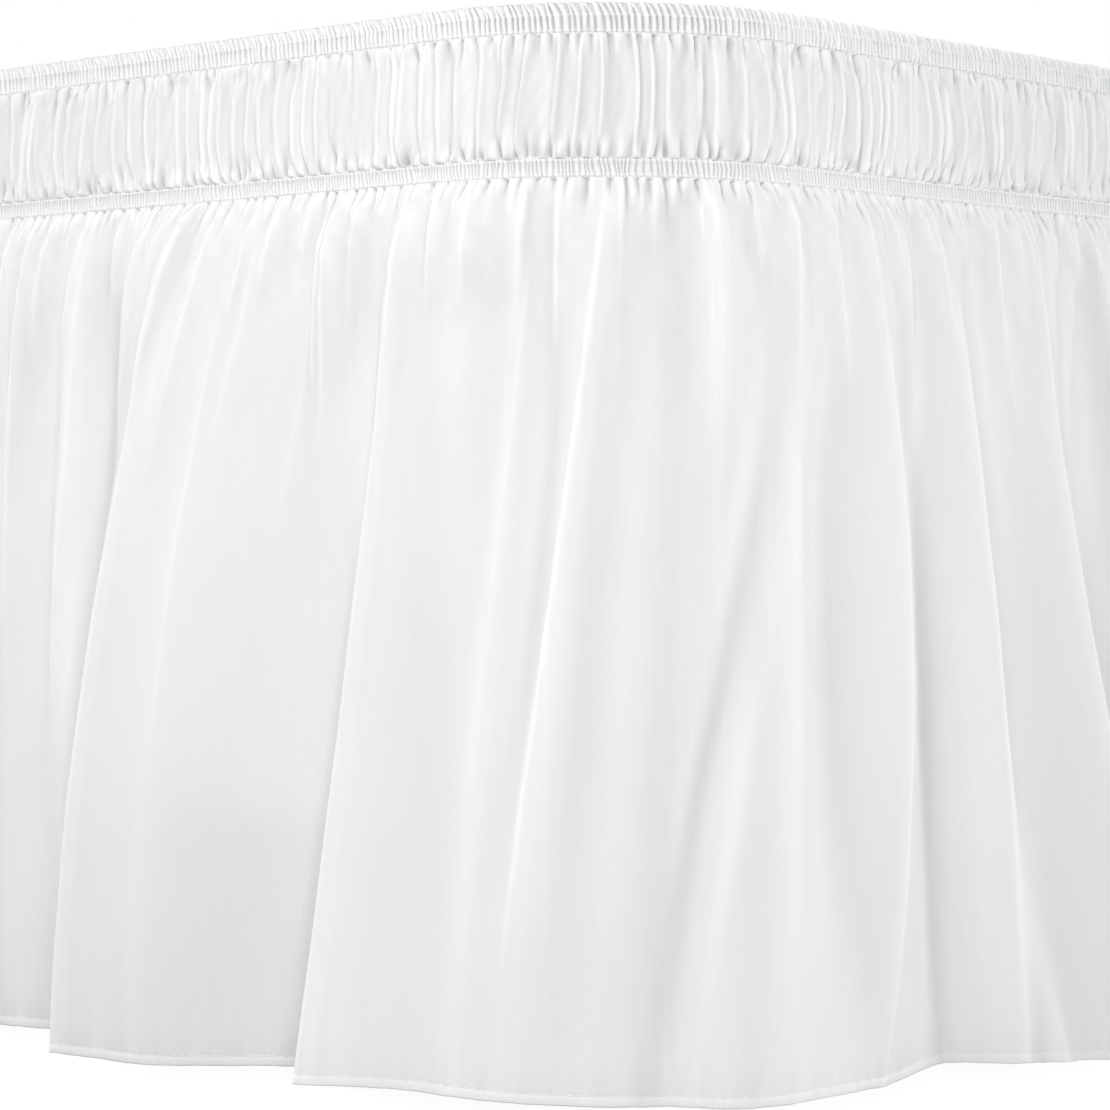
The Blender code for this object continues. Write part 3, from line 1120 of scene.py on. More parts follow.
@dataclass(frozen=True)
class StainedBeech:
    """Satin stained beech, its grain running down the leg."""

    name: str = "stained_beech"
    dark: Triple = (0.150, 0.088, 0.050)
    light: Triple = (0.340, 0.225, 0.135)
    plain_roughness: float = 0.42
    least_roughness: float = 0.34
    roughness_spread: float = 0.2
    coat: float = 0.25
    coat_roughness: float = 0.25
    grain_scale: Triple = (220.0, 220.0, 6.0)
    grain_contrast: float = 1.5
    fleck_scale: Triple = (900.0, 900.0, 60.0)
    fleck_share: float = 0.35
    grain_relief: float = 0.7
    relief: float = 0.15
    relief_depth: float = 0.0003

    def make(self) -> bpy.types.Material:
        """Make the finish.

        Returns:
            The finished material.
        """
        bench = Bench(self.name, self.light, self.plain_roughness)
        where = bench.place_in_space()
        grain = bench.noise(where, self.grain_scale, detail=4.0, roughness=0.6)
        fleck = bench.noise(where, self.fleck_scale, detail=1.0)
        stretched = grain * self.grain_contrast - (self.grain_contrast - 1) / 2
        shade = (stretched + (fleck - 0.5) * self.fleck_share).floored(0.0).capped(1.0)
        bench.settle({
            "Base Color": bench.blended(shade, tint(self.dark), tint(self.light)),
            "Roughness": self.least_roughness + grain * self.roughness_spread,
            "Coat Weight": self.coat,
            "Coat Roughness": self.coat_roughness,
        })
        height = grain * self.grain_relief + fleck * (1 - self.grain_relief)
        bench.bumped(height, self.relief, self.relief_depth)
        return bench.material


@dataclass(frozen=True)
class StageFinish:
    """A plain finish that glows evenly and has no gloss, for what stands round the object."""

    name: str
    colour: Triple
    roughness: float
    glow: float

    def make(self) -> bpy.types.Material:
        """Make the finish.

        Returns:
            The finished material.
        """
        bench = Bench(self.name, self.colour, self.roughness)
        bench.settle({"Emission Color": WHITE, "Emission Strength": self.glow,
                      "Specular IOR Level": 0.0})
        return bench.material


def crumples(turn: np.ndarray, fall: np.ndarray, waves: int, size: float) -> np.ndarray:
    """Return soft uneven dents, from -1 to 1.

    The waves' factors share no common measure, so that the dents never repeat in step.

    Args:
        turn: Where the points lie round the ring, as angles.
        fall: How far down they lie.
        waves: How many dents there are round the ring.
        size: How tall a dent is.

    Returns:
        The grid of values.
    """
    down = fall / size
    broad = (np.sin(waves * turn + 1.7 * np.sin(1.3 * down))
             * np.sin(2.6 * down + 1.9 * np.sin(waves // 3 * turn)))
    fine = np.sin((2 * waves + 7) * turn - 2.3 * down + 1.4 * np.sin(1.9 * down + waves // 4 * turn))
    return (broad + FINE_WAVES * fine) / (1 + FINE_WAVES)


def crests(places: np.ndarray, out: np.ndarray, size: Range) -> np.ndarray:
    """Return how sharply a sheet folds at its points, from -1 in a furrow to 1 on a crest.

    Args:
        places: Where the points lie along the ring, rising along each row.
        out: How far out of it they lie, on the same grid.
        size: How far to each side the sheet is compared, and the slope that counts as sharp.

    Returns:
        The grid of values.
    """
    reach, slope = size
    turned = np.zeros_like(out)
    for number, (place, level) in enumerate(zip(places, out)):
        before, after = (np.interp(place + side * reach, place, level) for side in (-1, 1))
        turned[number] = (2 * level - before - after) / (2 * reach)
    return np.tanh(turned / slope)


def painted_light_tone(painted_light: np.ndarray, pits: np.ndarray) -> np.ndarray:
    """Return painted highlight on crests, softer painted shade in valleys and darker in furrow pits."""
    return np.clip(np.where(painted_light < 0, VALLEY_SHADE_SHARE * painted_light, painted_light) + pits / FULL_SHADE_PIT_DEPTH, DARKEST_PAINTED_SHADE, 1)


def grid_piece(name: str, points: np.ndarray, cloth: np.ndarray, finish: bpy.types.Material,
               painted_light: np.ndarray | None = None, ring_closed: bool = False,
               tube_closed: bool = False) -> bpy.types.Object:
    """Make a piece from a bmesh grid moved onto its points.

    Args:
        name: The piece's name.
        points: Its points, a row for each line of the cloth and a column for each place on it.
        cloth: Its own coordinates in metres at the same points.
        finish: Its material.
        painted_light: Painted highlight and shade at the same points, or None for a smooth piece.
        ring_closed: True if the last column meets the first.
        tube_closed: True if the last row meets the first.

    Returns:
        The new object, at the origin.
    """
    rows, columns = points.shape[:2]
    shape = bmesh.new()
    bmesh.ops.create_grid(shape, x_segments=columns - 1, y_segments=rows - 1, size=1)
    mesh = bpy.data.meshes.new(name)
    shape.to_mesh(mesh)
    shape.free()
    flat = np.zeros(len(mesh.vertices) * 3)
    mesh.vertices.foreach_get("co", flat)
    flat = flat.reshape(-1, 3)
    column = np.rint((flat[:, 0] + 1) / 2 * (columns - 1)).astype(int)
    row = np.rint((1 - flat[:, 1]) / 2 * (rows - 1)).astype(int)
    mesh.vertices.foreach_set("co", points[row, column].ravel())
    corner = np.zeros(len(mesh.loops), dtype=np.int32)
    mesh.loops.foreach_get("vertex_index", corner)
    mesh.uv_layers.new(name="UVMap").data.foreach_set("uv", cloth[row, column][corner].ravel())
    # Store the painted highlight and shade at the points, for the material to read
    if painted_light is not None:
        mesh.attributes.new(PAINTED_LIGHT_ATTRIBUTE, "FLOAT", "POINT").data.foreach_set("value", painted_light[row, column])
    if ring_closed or tube_closed:
        rim = np.zeros(len(row), dtype=bool)
        if ring_closed:
            rim |= (column == 0) | (column == columns - 1)
        if tube_closed:
            rim |= (row == 0) | (row == rows - 1)
        shape = bmesh.new()
        shape.from_mesh(mesh)
        shape.verts.ensure_lookup_table()
        bmesh.ops.remove_doubles(shape, verts=[shape.verts[number] for number in np.flatnonzero(rim)],
                                 dist=JOIN_DISTANCE)
        shape.to_mesh(mesh)
        shape.free()
    return dressed(name, mesh, finish)


def dressed(name: str, mesh: bpy.types.Mesh, finish: bpy.types.Material) -> bpy.types.Object:
    """Put a mesh in the scene as a smooth-shaded piece with one material.

    Args:
        name: The piece's name.
        mesh: Its mesh.
        finish: Its material.

    Returns:
        The new object, at the origin.
    """
    mesh.name = name
    mesh.shade_smooth()
    mesh.materials.clear()
    mesh.materials.append(finish)
    made = bpy.data.objects.new(name, mesh)
    bpy.context.scene.collection.objects.link(made)
    return made


def bmesh_piece(name: str, shape: bmesh.types.BMesh, finish: bpy.types.Material,
                sharp: float | None = None) -> bpy.types.Object:
    """Put a bmesh in the scene as a piece.

    Args:
        name: The piece's name.
        shape: Its bmesh, which is freed.
        finish: Its material.
        sharp: The angle past which its edges stay sharp, or None for a smooth piece.

    Returns:
        The new object, at the origin.
    """
    mesh = bpy.data.meshes.new(name)
    shape.to_mesh(mesh)
    shape.free()
    made = dressed(name, mesh, finish)
    if sharp is not None:
        mesh.set_sharp_from_angle(angle=sharp)
    return made


def thicken(piece: bpy.types.Object, thickness: float) -> None:
    """Give a sheet its thickness, evenly to both sides.

    Args:
        piece: The sheet.
        thickness: How thick it gets.
    """
    wall = piece.modifiers.new("Cloth", "SOLIDIFY")
    wall.thickness = thickness
    wall.offset = 0
    wall.use_rim = True


def enrol(piece: bpy.types.Object, slot: Slot, *nodes: str) -> bpy.types.Object:
    """Ride a piece on the body, hide the solids that it stands for, and log it.

    Args:
        piece: The piece.
        slot: Its material slot in the record; not used.
        nodes: The solids that it replaces, if any.

    Returns:
        The same object.
    """
    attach(piece, BODY)
    if nodes:
        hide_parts(*nodes)
    triangles = sum(len(face.vertices) - 2 for face in piece.data.polygons)
    LOG.info("%s: %d triangles before its thickness", piece.name, triangles)
    return piece


@dataclass
class ElasticCasing:
    """A narrow elastic in its casing, shirred into small ribs."""

    ring: Ring
    name: str
    node: str
    rows: tuple[CasingRow, ...]
    stitch_rows: tuple[float, ...]
    seed: int
    rib_width: Range = (0.0018, 0.0033)
    rib_height: float = 0.0029
    rib_roundness: float = 0.5
    sunk: float = 0.70
    wander: float = 0.0005
    slant_uneven: float = 0.4
    slant_turn: float = 9.0
    fine: tuple[float, ...] = (0.0, 0.09, 0.20, 0.42, 0.68, 0.88)
    coarse: tuple[float, ...] = (0.0, 0.5)
    fringe: float = 0.0003
    least_cut: float = 0.0100

    def build(self) -> None:
        """Build the casing as a closed tube of cloth."""
        pleating = Pleating(self.ring, self.seed, self.rib_width, self.wander, self.wander)
        pleats, shares = pleating.columns(self.fine, self.coarse)
        heights, outs, ribs, slants = np.array([*self.rows, self.rows[0]]).T
        down = (heights.max() - heights) / (heights.max() - heights.min())
        slanted = slants[:, None] * (1 + self.slant_uneven * np.sin(self.slant_turn * pleats))
        places = pleating.place(pleats, shares, down) + slanted
        crest = np.sin(math.pi * shares)[None, :] ** self.rib_roundness
        tall = pleating.mixed(pleating.heights, pleats, shares)[None, :]
        out = outs[:, None] + self.rib_height * ribs[:, None] * (tall * crest - self.sunk)
        out = np.maximum(out, INNERMOST)
        plan = self.ring.spot(places, out)
        level = heights[:, None] + np.zeros_like(places)
        level[[0, -1]] += self.fringe * (tall * crest - 0.5)
        points = np.dstack((plan, level))
        # How sharply the ribs fold, painted as highlight on the ribs and shade in the slits
        painted_light = crests(places, out, FINE_CREST)
        cloth = pleating.cloth(pleats, shares, heights)
        finish = ShirredCloth(f"{self.name}_finish", self.stitch_rows, pleating.cut_width).make()
        piece = grid_piece(self.name, points, cloth, finish, painted_light, True, True)
        enrol(piece, Slot.SHIRRED, self.node)


@dataclass
class RuchedHeading:
    """The cloth between the two elastics, puffed out and ruched into uneven pleats."""

    ring: Ring
    name: str = "ruched_heading"
    node: str = "heading"
    seed: int = 5
    pleat_width: Range = (0.0050, 0.0145)
    pleat_uneven: float = 0.90
    pleats_drawn: int = 2
    wander: float = 0.0050
    bow: float = 0.0040
    drift: float = 0.0020
    valley: float = 0.56
    valley_lean: float = 0.12
    valley_uneven: float = 0.20
    valley_turn: float = 2.4
    valley_limits: Range = (0.16, 0.84)
    sharpness: float = 1.9
    softening: float = 0.3
    depth: float = 0.0031
    rounding: Range = (0.5, 0.8)
    puff: float = 0.0005
    puff_rounding: float = 0.8
    brim: float = 0.0014
    dimple: float = 0.0007
    pinch: Range = (0.07, 0.06)
    overhang: float = 0.0008
    crease: float = 0.0005
    crease_width: float = 0.00045
    dent: float = 0.0007
    dents: int = 520
    dent_size: float = 0.09
    crest_tautness: float = 0.7
    rows: tuple[float, ...] = (0.0, 0.018, 0.045, 0.085, 0.14, 0.21, 0.30, 0.40, 0.51, 0.62, 0.72,
                               0.80, 0.87, 0.925, 0.965, 0.985, 1.0)
    fine: tuple[float, ...] = (0.0, 0.05, 0.12, 0.22, 0.34, 0.46, 0.58, 0.70, 0.81, 0.90, 0.96)
    coarse: tuple[float, ...] = (0.0, 0.22, 0.62)

    def build(self, finish: bpy.types.Material) -> None:
        """Build the heading.

        Args:
            finish: Its material.
        """
        pleating = Pleating(self.ring, self.seed, self.pleat_width, self.wander, self.bow,
                            self.drift, self.pleat_uneven, self.pleats_drawn)
        pleats, shares = pleating.columns(self.fine, self.coarse)
        down = np.array(self.rows)
        places = pleating.place(pleats, shares, down)
        lean = pleating.mixed(pleating.leans, pleats, shares)
        crest = self._section(pleats, shares, lean)[None, :]
        tall = pleating.mixed(pleating.heights, pleats, shares)[None, :]
        bulge = np.sin(down * math.pi)[:, None]
        envelope = bulge ** np.where(down < 0.5, *self.rounding)[:, None]
        along = places
        places = places + self.overhang * lean[None, :] * envelope * crest ** 2
        pinch = (np.exp(-down / self.pinch[0]) + np.exp(-(1 - down) / self.pinch[1]))[:, None]
        out = (self.puff * bulge ** self.puff_rounding + self.depth * envelope * tall * crest
               + self.brim * (1 - envelope) - self.dimple * pinch * envelope * (1 - crest))
        nearest = np.minimum(shares, 1 - shares) * np.diff(pleating.tops)[pleats]
        edge = np.exp(-(nearest / self.crease_width) ** 2)[None, :]
        wrinkles, pits = self._starters(along, down)
        turn = along * 2 * math.pi / self.ring.length
        dents = crumples(turn, down[:, None], self.dents, self.dent_size)
        out = out + self.crease * envelope * edge + wrinkles + pits
        out = out + self.dent * envelope * (1 - self.crest_tautness * crest) * dents
        # Painted highlight on the pleats' crests and painted shade in their valleys and furrows
        painted_light = painted_light_tone(crests(along, out, FINE_CREST), pits)
        plan = self.ring.spot(places, np.maximum(out, INNERMOST))
        height = (HEADING_TOP + STITCHED_LAP
                  - (HEADING_TOP - LOWER_CASING_TOP + 2 * STITCHED_LAP) * down)
        level = height[:, None] + np.zeros_like(places)
        cloth = pleating.cloth(pleats, shares, height)
        piece = grid_piece(self.name, np.dstack((plan, level)), cloth, finish, painted_light, True)
        thicken(piece, CLOTH_THICKNESS)
        enrol(piece, Slot.MICROFIBRE, self.node)

    def _section(self, pleats: np.ndarray, shares: np.ndarray, lean: np.ndarray) -> np.ndarray:
        """Work out how the cloth rises and falls across the pleats, each with its own valley.

        Args:
            pleats: The pleat of each column.
            shares: The share across it of each column.
            lean: How far the pleats lean there, from -1 to 1.

        Returns:
            One value for each column, 1 on a crest and 0 in a valley.
        """
        uneven = np.sin(pleats * self.valley_turn) * self.valley_uneven
        valley = np.clip(self.valley - self.valley_lean * lean + uneven, *self.valley_limits)
        power = self.sharpness - self.softening * np.abs(lean)
        falling = np.clip(1 - shares / valley, 0, 1) ** power
        rising = np.clip((shares - valley) / (1 - valley), 0, 1) ** power
        return falling + rising

    def _starters(self, places: np.ndarray, down: np.ndarray) -> tuple[np.ndarray, np.ndarray]:
        """Raise small wrinkles and sink furrows that start at the casings' stitches.

        Args:
            places: u of each column on each row.
            down: How far down each row lies, from 0 to 1.

        Returns:
            The wrinkles' lifts and the furrows', as two grids.
        """
        fall = down * (HEADING_TOP - LOWER_CASING_TOP)
        climb = fall[-1] - fall[::-1]
        lifted, pits = np.zeros_like(places), np.zeros_like(places)
        for seed, edge, reach, turned in ((41, places[0], fall, 1), (43, places[-1], climb, -1)):
            wrinkles = Gathers(self.ring, seed, pitch=(0.0030, 0.0066), height=(0.0014, 0.0034),
                               length=(0.003, 0.018), rise=0.0008)
            furrows = Furrows(self.ring, seed + 1, pitch=(0.0034, 0.0085), depth=(0.0034, 0.0064),
                              length=(0.0028, 0.0085))
            lifted += wrinkles.relief(edge, reach)[::turned]
            pits += furrows.relief(edge, reach)[::turned]
        return lifted, pits


@dataclass
class DropPanel:
    """One panel of the falling cloth, with its gathers, folds, hem band and lockstitch."""

    ring: Ring
    folds: Folds
    gathers: tuple[Gathers, ...]
    furrows: Furrows
    where: str
    first: float
    last: float
    step: float = 0.0034
    front_step: float = 0.0011
    far_step: float = 0.0052
    fine_stretch: Range = (-0.33, 0.29)
    furrow_room: float = 1.3
    furrow_flank: float = 0.8
    brim: float = 0.0009
    brim_fall: float = 0.004
    notch: float = 0.0004
    notch_falls: Range = (0.0012, 0.014)
    shoulder: float = 0.0010
    shoulder_fall: float = 0.0060
    dent: float = 0.0011
    dents: int = 230
    dent_size: float = 0.0075
    dent_start: float = 0.02
    dent_reach: float = 0.045
    sway: float = 0.0003
    sway_start: float = 0.15
    hem_band: float = 0.0038
    hem_lift: float = 0.00018
    hem_rounding: Range = (0.0012, 0.0006)
    groove: float = 0.00022
    groove_half_width: float = 0.0005
    stitch_pitch: float = 0.0031
    stitch_size: Triple = (0.00112, 0.00024, 0.00020)
    stitch_lead: float = 1.2
    stitch_stand: float = 0.6
    stitch_step: float = 0.0008
    stitch_reach: float = 0.0006
    pucker: float = 0.00022
    pucker_reach: float = 0.006
    seam_dip: float = 0.0014
    seam_reach: float = 0.004
    hem_innermost: float = 0.0006
    top_rows: tuple[float, ...] = (0.0, 0.0009, 0.0022, 0.0040, 0.0062, 0.0088, 0.0120, 0.0158,
                                   0.0200, 0.0250, 0.0305, 0.0365, 0.0430, 0.0500, 0.0575)
    row_step: float = 0.0110
    stitch_rows: tuple[float, ...] = (-0.0012, -0.0004, 0.0, 0.0005, 0.0020)
    edge_row: float = 0.0004
    hem_waves: tuple[tuple[int, float, float], ...] = ((3, 0.0012, 0.4), (11, 0.0009, 2.1),
                                                       (29, 0.0007, 4.0))

    def _columns(self) -> np.ndarray:
        """Space the columns, close together where they face the camera.

        Where they do, each furrow has one column at its centre and one on each flank.

        Returns:
            The columns' places, in rising order.
        """
        marks = sorted({self.first, self.last, *(edge for edge in self.fine_stretch
                                                 if self.first < edge < self.last)})
        columns = [self.first]
        for start, end in zip(marks, marks[1:]):
            front = self.fine_stretch[0] < (start + end) / 2 < self.fine_stretch[1]
            if front:
                step = self.front_step
            else:
                step = self.step if len(marks) == 2 else self.far_step
            count = math.ceil((end - start) / step)
            run = [start + (end - start) * number / count for number in range(1, count + 1)]
            if front:
                room, flank = (share * self.furrows.width
                               for share in (self.furrow_room, self.furrow_flank))
                centres = [place for place in self.furrows.places if start < place < end]
                run = [place for place in run[:-1]
                       if min(abs(place - centre) for centre in centres) > room]
                run += [centre + side * flank for centre in centres for side in (-1, 0, 1)] + [end]
                run.sort()
            columns += run
        return np.array(columns)

    def _rows(self) -> np.ndarray:
        """Space the rows, close together at the casing and at the hem.

        Returns:
            The rows' falls, in rising order.
        """
        above, *hem = (PANEL_DROP - self.hem_band + offset for offset in self.stitch_rows)
        count = math.ceil((above - self.top_rows[-1]) / self.row_step)
        middle = np.linspace(self.top_rows[-1], above, count + 1)[1:]
        edge = (PANEL_DROP - self.edge_row, PANEL_DROP)
        return np.concatenate((self.top_rows, middle, hem, edge))

    def _head(self, fall: np.ndarray) -> np.ndarray:
        """Shape the cloth under the casing: a brim, a notch beneath it and a soft shoulder.

        Args:
            fall: Falls of the rows.

        Returns:
            The lift of each row.
        """
        short, long = self.notch_falls
        notch = self.notch * np.exp(-fall / long) * (1 - np.exp(-fall / short))
        swelling = (1 - np.exp(-fall / self.shoulder_fall)) * (1 - fall / PANEL_DROP) ** 2
        return self.brim * np.exp(-fall / self.brim_fall) - notch + self.shoulder * swelling

    def _hem(self, fall: np.ndarray) -> np.ndarray:
        """Shape the hem: its doubled band, rounded at both edges, and the groove of its stitches.

        Args:
            fall: Falls of the rows.

        Returns:
            The lift of each row.
        """
        past = fall - (PANEL_DROP - self.hem_band)
        groove = np.exp(-(past / self.groove_half_width) ** 2)
        start, end = self.hem_rounding
        band = np.clip(past / start, 0, 1) * np.clip((PANEL_DROP + end / 2 - fall) / end, 0, 1)
        return self.hem_lift * band - self.groove * groove

    def _ripple(self, u: np.ndarray) -> np.ndarray:
        """Return the small waves that the hem's stitches draw, which never repeat in step."""
        return np.sin(u * 760) * np.sin(u * 233 + 1.0) + FINE_WAVES * np.sin(u * 411 + 2.0)

    def _sway(self, u: np.ndarray, drop: np.ndarray) -> np.ndarray:
        """Shape the slow unevenness of hanging cloth, from waves that never repeat in step.

        Args:
            u: Places of the columns.
            drop: Drops of the rows.

        Returns:
            A grid of lifts, a row for each drop and a column for each place.
        """
        across, down = u[None, :], drop[:, None]
        waves = (np.sin(across * 37 + 9 * down) * np.sin(19 * down + across * 11)
                 + FINE_WAVES * np.sin(across * 83 - 6 * down + 2.0))
        return self.sway * waves * np.minimum(down / self.sway_start, 1)

    def surface(self, u: np.ndarray, fall: np.ndarray) -> tuple[np.ndarray, np.ndarray]:
        """Return the points of the cloth, and the painted highlight and shade that its folds give it.

        Args:
            u: Places of the columns, in rising order.
            fall: Falls of the rows, in rising order.

        Returns:
            Two grids, a row for each fall and a column for each place.
        """
        drop = fall / PANEL_DROP
        out, slide = self.folds.shape(u, drop)
        for gathers in self.gathers:
            out = out + gathers.relief(u, fall)
        out = out + self._head(fall)[:, None]
        pits = self.furrows.relief(u, fall)
        out = out + pits
        turn = u * 2 * math.pi / self.ring.length
        dents = crumples(turn[None, :], fall[:, None], self.dents, self.dent_size)
        fade = np.exp(-fall / self.dent_reach) * np.minimum(drop / self.dent_start, 1)
        out = out + self.dent * dents * fade[:, None]
        ripple = self._ripple(u)
        near_hem = np.exp(-np.abs(fall - (PANEL_DROP - self.hem_band)) / self.pucker_reach)
        out = out + self._hem(fall)[:, None]
        out = out + self.pucker * near_hem[:, None] * ripple[None, :]
        out = out + self._sway(u, drop)
        seam = np.minimum(np.abs(u - self.first), np.abs(u - self.last))
        out = out - np.minimum(0.5 * out, self.seam_dip) * np.exp(-seam / self.seam_reach)[None, :]
        innermost = INNERMOST + self.hem_innermost * drop[:, None]
        plan = self.ring.spot(u[None, :] + slide, np.maximum(out, innermost))
        uneven = sum(size * np.sin(count * turn + shift) for count, size, shift in self.hem_waves)
        uneven = uneven + 0.5 * self.pucker * ripple
        level = PANEL_TOP + STITCHED_LAP + (uneven[None, :] - STITCHED_LAP - PANEL_DROP) * drop[:, None]
        along = u[None, :] + 0 * out
        # Painted highlight on fine and broad crests and painted shade in valleys and furrows
        painted_light = crests(along, out, FINE_CREST) + BROAD_LIGHT_SHARE * crests(along, out, BROAD_CREST)
        return np.dstack((plan, level)), painted_light_tone(painted_light, pits)

    def _hem_stitches(self, finish: bpy.types.Material) -> bpy.types.Object:
        """Sew the lockstitch along the top of the hem band.

        Args:
            finish: The thread's material.

        Returns:
            All the panel's stitches, as one joined piece.
        """
        u = np.linspace(self.first, self.last, math.ceil((self.last - self.first) / self.stitch_step))
        fall = PANEL_DROP - self.hem_band + self.stitch_reach * np.array((-1, 0, 1))
        above, line, under = self.surface(u, fall)[0]
        walked = np.concatenate(([0.0], np.cumsum(np.linalg.norm(np.diff(line, axis=0), axis=1))))
        count = int((walked[-1] - 2 * self.stitch_pitch) / self.stitch_pitch)
        shape = bmesh.new()
        for number in range(count):
            middle = (number + self.stitch_lead) * self.stitch_pitch
            spots = [np.array([np.interp(middle + reach, walked, line[:, axis]) for axis in range(3)])
                     for reach in (-self.stitch_size[0], 0.0, self.stitch_size[0])]
            nearest = int(np.searchsorted(walked, middle))
            along = Vector(spots[2] - spots[0]).normalized()
            down = Vector(under[nearest] - above[nearest]).normalized()
            outward = down.cross(along).normalized()
            side = along.cross(outward)
            turn = Matrix((along, side, outward)).transposed().to_4x4()
            size = Matrix.Diagonal((*self.stitch_size, 1.0))
            stand = CLOTH_THICKNESS / 2 + self.stitch_size[2] * self.stitch_stand
            centre = Vector(spots[1]) + outward * stand
            bmesh.ops.create_icosphere(shape, subdivisions=1, radius=1,
                                       matrix=Matrix.Translation(centre) @ turn @ size)
        piece = bmesh_piece(f"hem_stitches_{self.where}", shape, finish)
        return enrol(piece, Slot.MICROFIBRE)

    def build(self, finish: bpy.types.Material, thread: bpy.types.Material) -> None:
        """Build the panel and its stitches.

        Args:
            finish: The cloth's material.
            thread: The stitches' material.
        """
        u, fall = self._columns(), self._rows()
        cloth = np.dstack(np.broadcast_arrays(u[None, :] * FULLNESS, -fall[:, None]))
        points, painted_light = self.surface(u, fall)
        piece = grid_piece(f"drop_panel_{self.where}", points, cloth, finish, painted_light)
        thicken(piece, CLOTH_THICKNESS)
        enrol(piece, Slot.MICROFIBRE, f"panel_{self.where}")
        stitches = self._hem_stitches(thread)


@dataclass
class BoxSpring:
    """The plain box spring: a padded block in ticking, piped round its top and its foot."""

    ring: Ring
    width: float = 0.965
    length: float = 1.905
    top: float = 0.412
    foot: float = 0.183
    corner_radius: float = 0.092
    edge_radius: float = 0.008
    edge_steps: int = 3
    border: float = 0.030
    quilting: float = 0.012
    quilting_depth: float = 0.0006
    piping_radius: float = 0.0030
    piping_gap: float = 0.0012
    piping_inset: float = 0.0025
    piping_sides: int = 10
    steps: int = 12
    straight_steps: int = 8

    def build(self, finish: bpy.types.Material) -> None:
        """Build the covered block and its two lines of piping.

        Args:
            finish: The ticking.
        """
        shape = bmesh.new()
        bmesh.ops.create_cube(shape, size=1)
        bmesh.ops.scale(shape, vec=(self.width, self.length, self.top - self.foot), verts=shape.verts)
        upright = [edge for edge in shape.edges if abs(edge.verts[0].co.z - edge.verts[1].co.z) > 0.1]
        bmesh.ops.bevel(shape, geom=upright, offset=self.corner_radius, segments=self.steps,
                        profile=0.5, affect="EDGES", material=-1)
        caps = [face for face in shape.faces if abs(face.normal.z) > 0.9]
        rims = [edge for edge in shape.edges if any(face in caps for face in edge.link_faces)]
        bmesh.ops.bevel(shape, geom=rims, offset=self.edge_radius, segments=self.edge_steps,
                        profile=0.5, affect="EDGES", material=-1)
        caps = [face for face in shape.faces if abs(face.normal.z) > 0.99 and len(face.verts) > 8]
        for width, depth in ((self.border, -self.quilting_depth), (self.quilting, self.quilting_depth)):
            bmesh.ops.inset_region(shape, faces=caps, thickness=width, depth=depth)
        bmesh.ops.translate(shape, vec=(0, 0, (self.top + self.foot) / 2), verts=shape.verts)
        cover = bmesh_piece("box_spring_cover", shape, finish, math.radians(50))
        enrol(cover, Slot.TICKING, "box_spring")
        self._piping("top", self.top - self.piping_radius - self.piping_gap, finish)
        self._piping("foot", self.foot + self.piping_radius + self.piping_gap, finish)

    def _piping(self, place: str, level: float, finish: bpy.types.Material) -> None:
        """Build one line of piping, a closed tube along the block's edge.

        Args:
            place: Which edge it is on, for its name.
            level: The height of its middle.
            finish: The ticking.
        """
        u = []
        for corner, run in zip(self.ring.corner_places(), self.ring.runs):
            quarter = self.ring.quarter_arc
            u += [corner + (step / self.steps - 0.5) * quarter for step in range(self.steps + 1)]
            u += [corner + quarter / 2 + run * step / self.straight_steps
                  for step in range(1, self.straight_steps)]
        u.append(u[0] + self.ring.length)
        places = np.array(u)
        angle = np.linspace(0, -2 * math.pi, self.piping_sides + 1)[:, None]
        middle = -self.piping_radius - self.piping_inset
        out = middle + self.piping_radius * np.cos(angle) + 0 * places
        plan = self.ring.spot(places[None, :] + 0 * angle, out)
        height = level + self.piping_radius * np.sin(angle) + 0 * places
        cloth = np.dstack((places[None, :] + 0 * angle, height))
        piece = grid_piece(f"box_spring_piping_{place}", np.dstack((plan, height)), cloth, finish,
                           ring_closed=True, tube_closed=True)
        enrol(piece, Slot.TICKING)


@dataclass
class Skirt:
    """The whole bed skirt, from its frilled lip to its hem."""

    ring: Ring
    seam_gap: float = 0.0003
    corners: tuple[str, ...] = ("foot_right", "head_right", "head_left", "foot_left")

    def build(self) -> None:
        """Build the casings, the heading and the four panels."""
        cloth = Microfibre().make()
        thread = SewingThread().make()
        ElasticCasing(self.ring, "upper_casing", "upper_elastic", UPPER_CASING,
                      stitch_rows=(0.4107, 0.4049), seed=11).build()
        ElasticCasing(self.ring, "lower_casing", "lower_elastic", LOWER_CASING,
                      stitch_rows=(0.3571, 0.3516), seed=12, rib_width=(0.0012, 0.0027),
                      rib_height=0.0013, wander=0.0011).build()
        RuchedHeading(self.ring).build(cloth)
        folds = Folds(self.ring)
        gathers = (
            Gathers(self.ring, seed=31, pitch=(0.0110, 0.0260), height=(0.0040, 0.0078),
                    length=(0.030, 0.120), rise=0.0090),
            Gathers(self.ring, seed=32, pitch=(0.0280, 0.0560), height=(0.0016, 0.0036),
                    length=(0.080, 0.260), spread=0.4, rise=0.020),
            Gathers(self.ring, seed=33, pitch=(0.0044, 0.0090), height=(0.0012, 0.0028),
                    length=(0.006, 0.030), rise=0.0012),
        )
        furrows = Furrows(self.ring, seed=51, pitch=(0.0040, 0.0100), depth=(0.0030, 0.0064),
                          length=(0.0025, 0.0080))
        places = self.ring.corner_places()
        seams = [(place + following) / 2 for place, following in zip(places, places[1:])]
        seams.insert(0, seams[-1] - self.ring.length)
        for where, first, last in zip(self.corners, seams, seams[1:]):
            DropPanel(self.ring, folds, gathers, furrows, where, first + self.seam_gap / 2,
                      last - self.seam_gap / 2).build(cloth, thread)


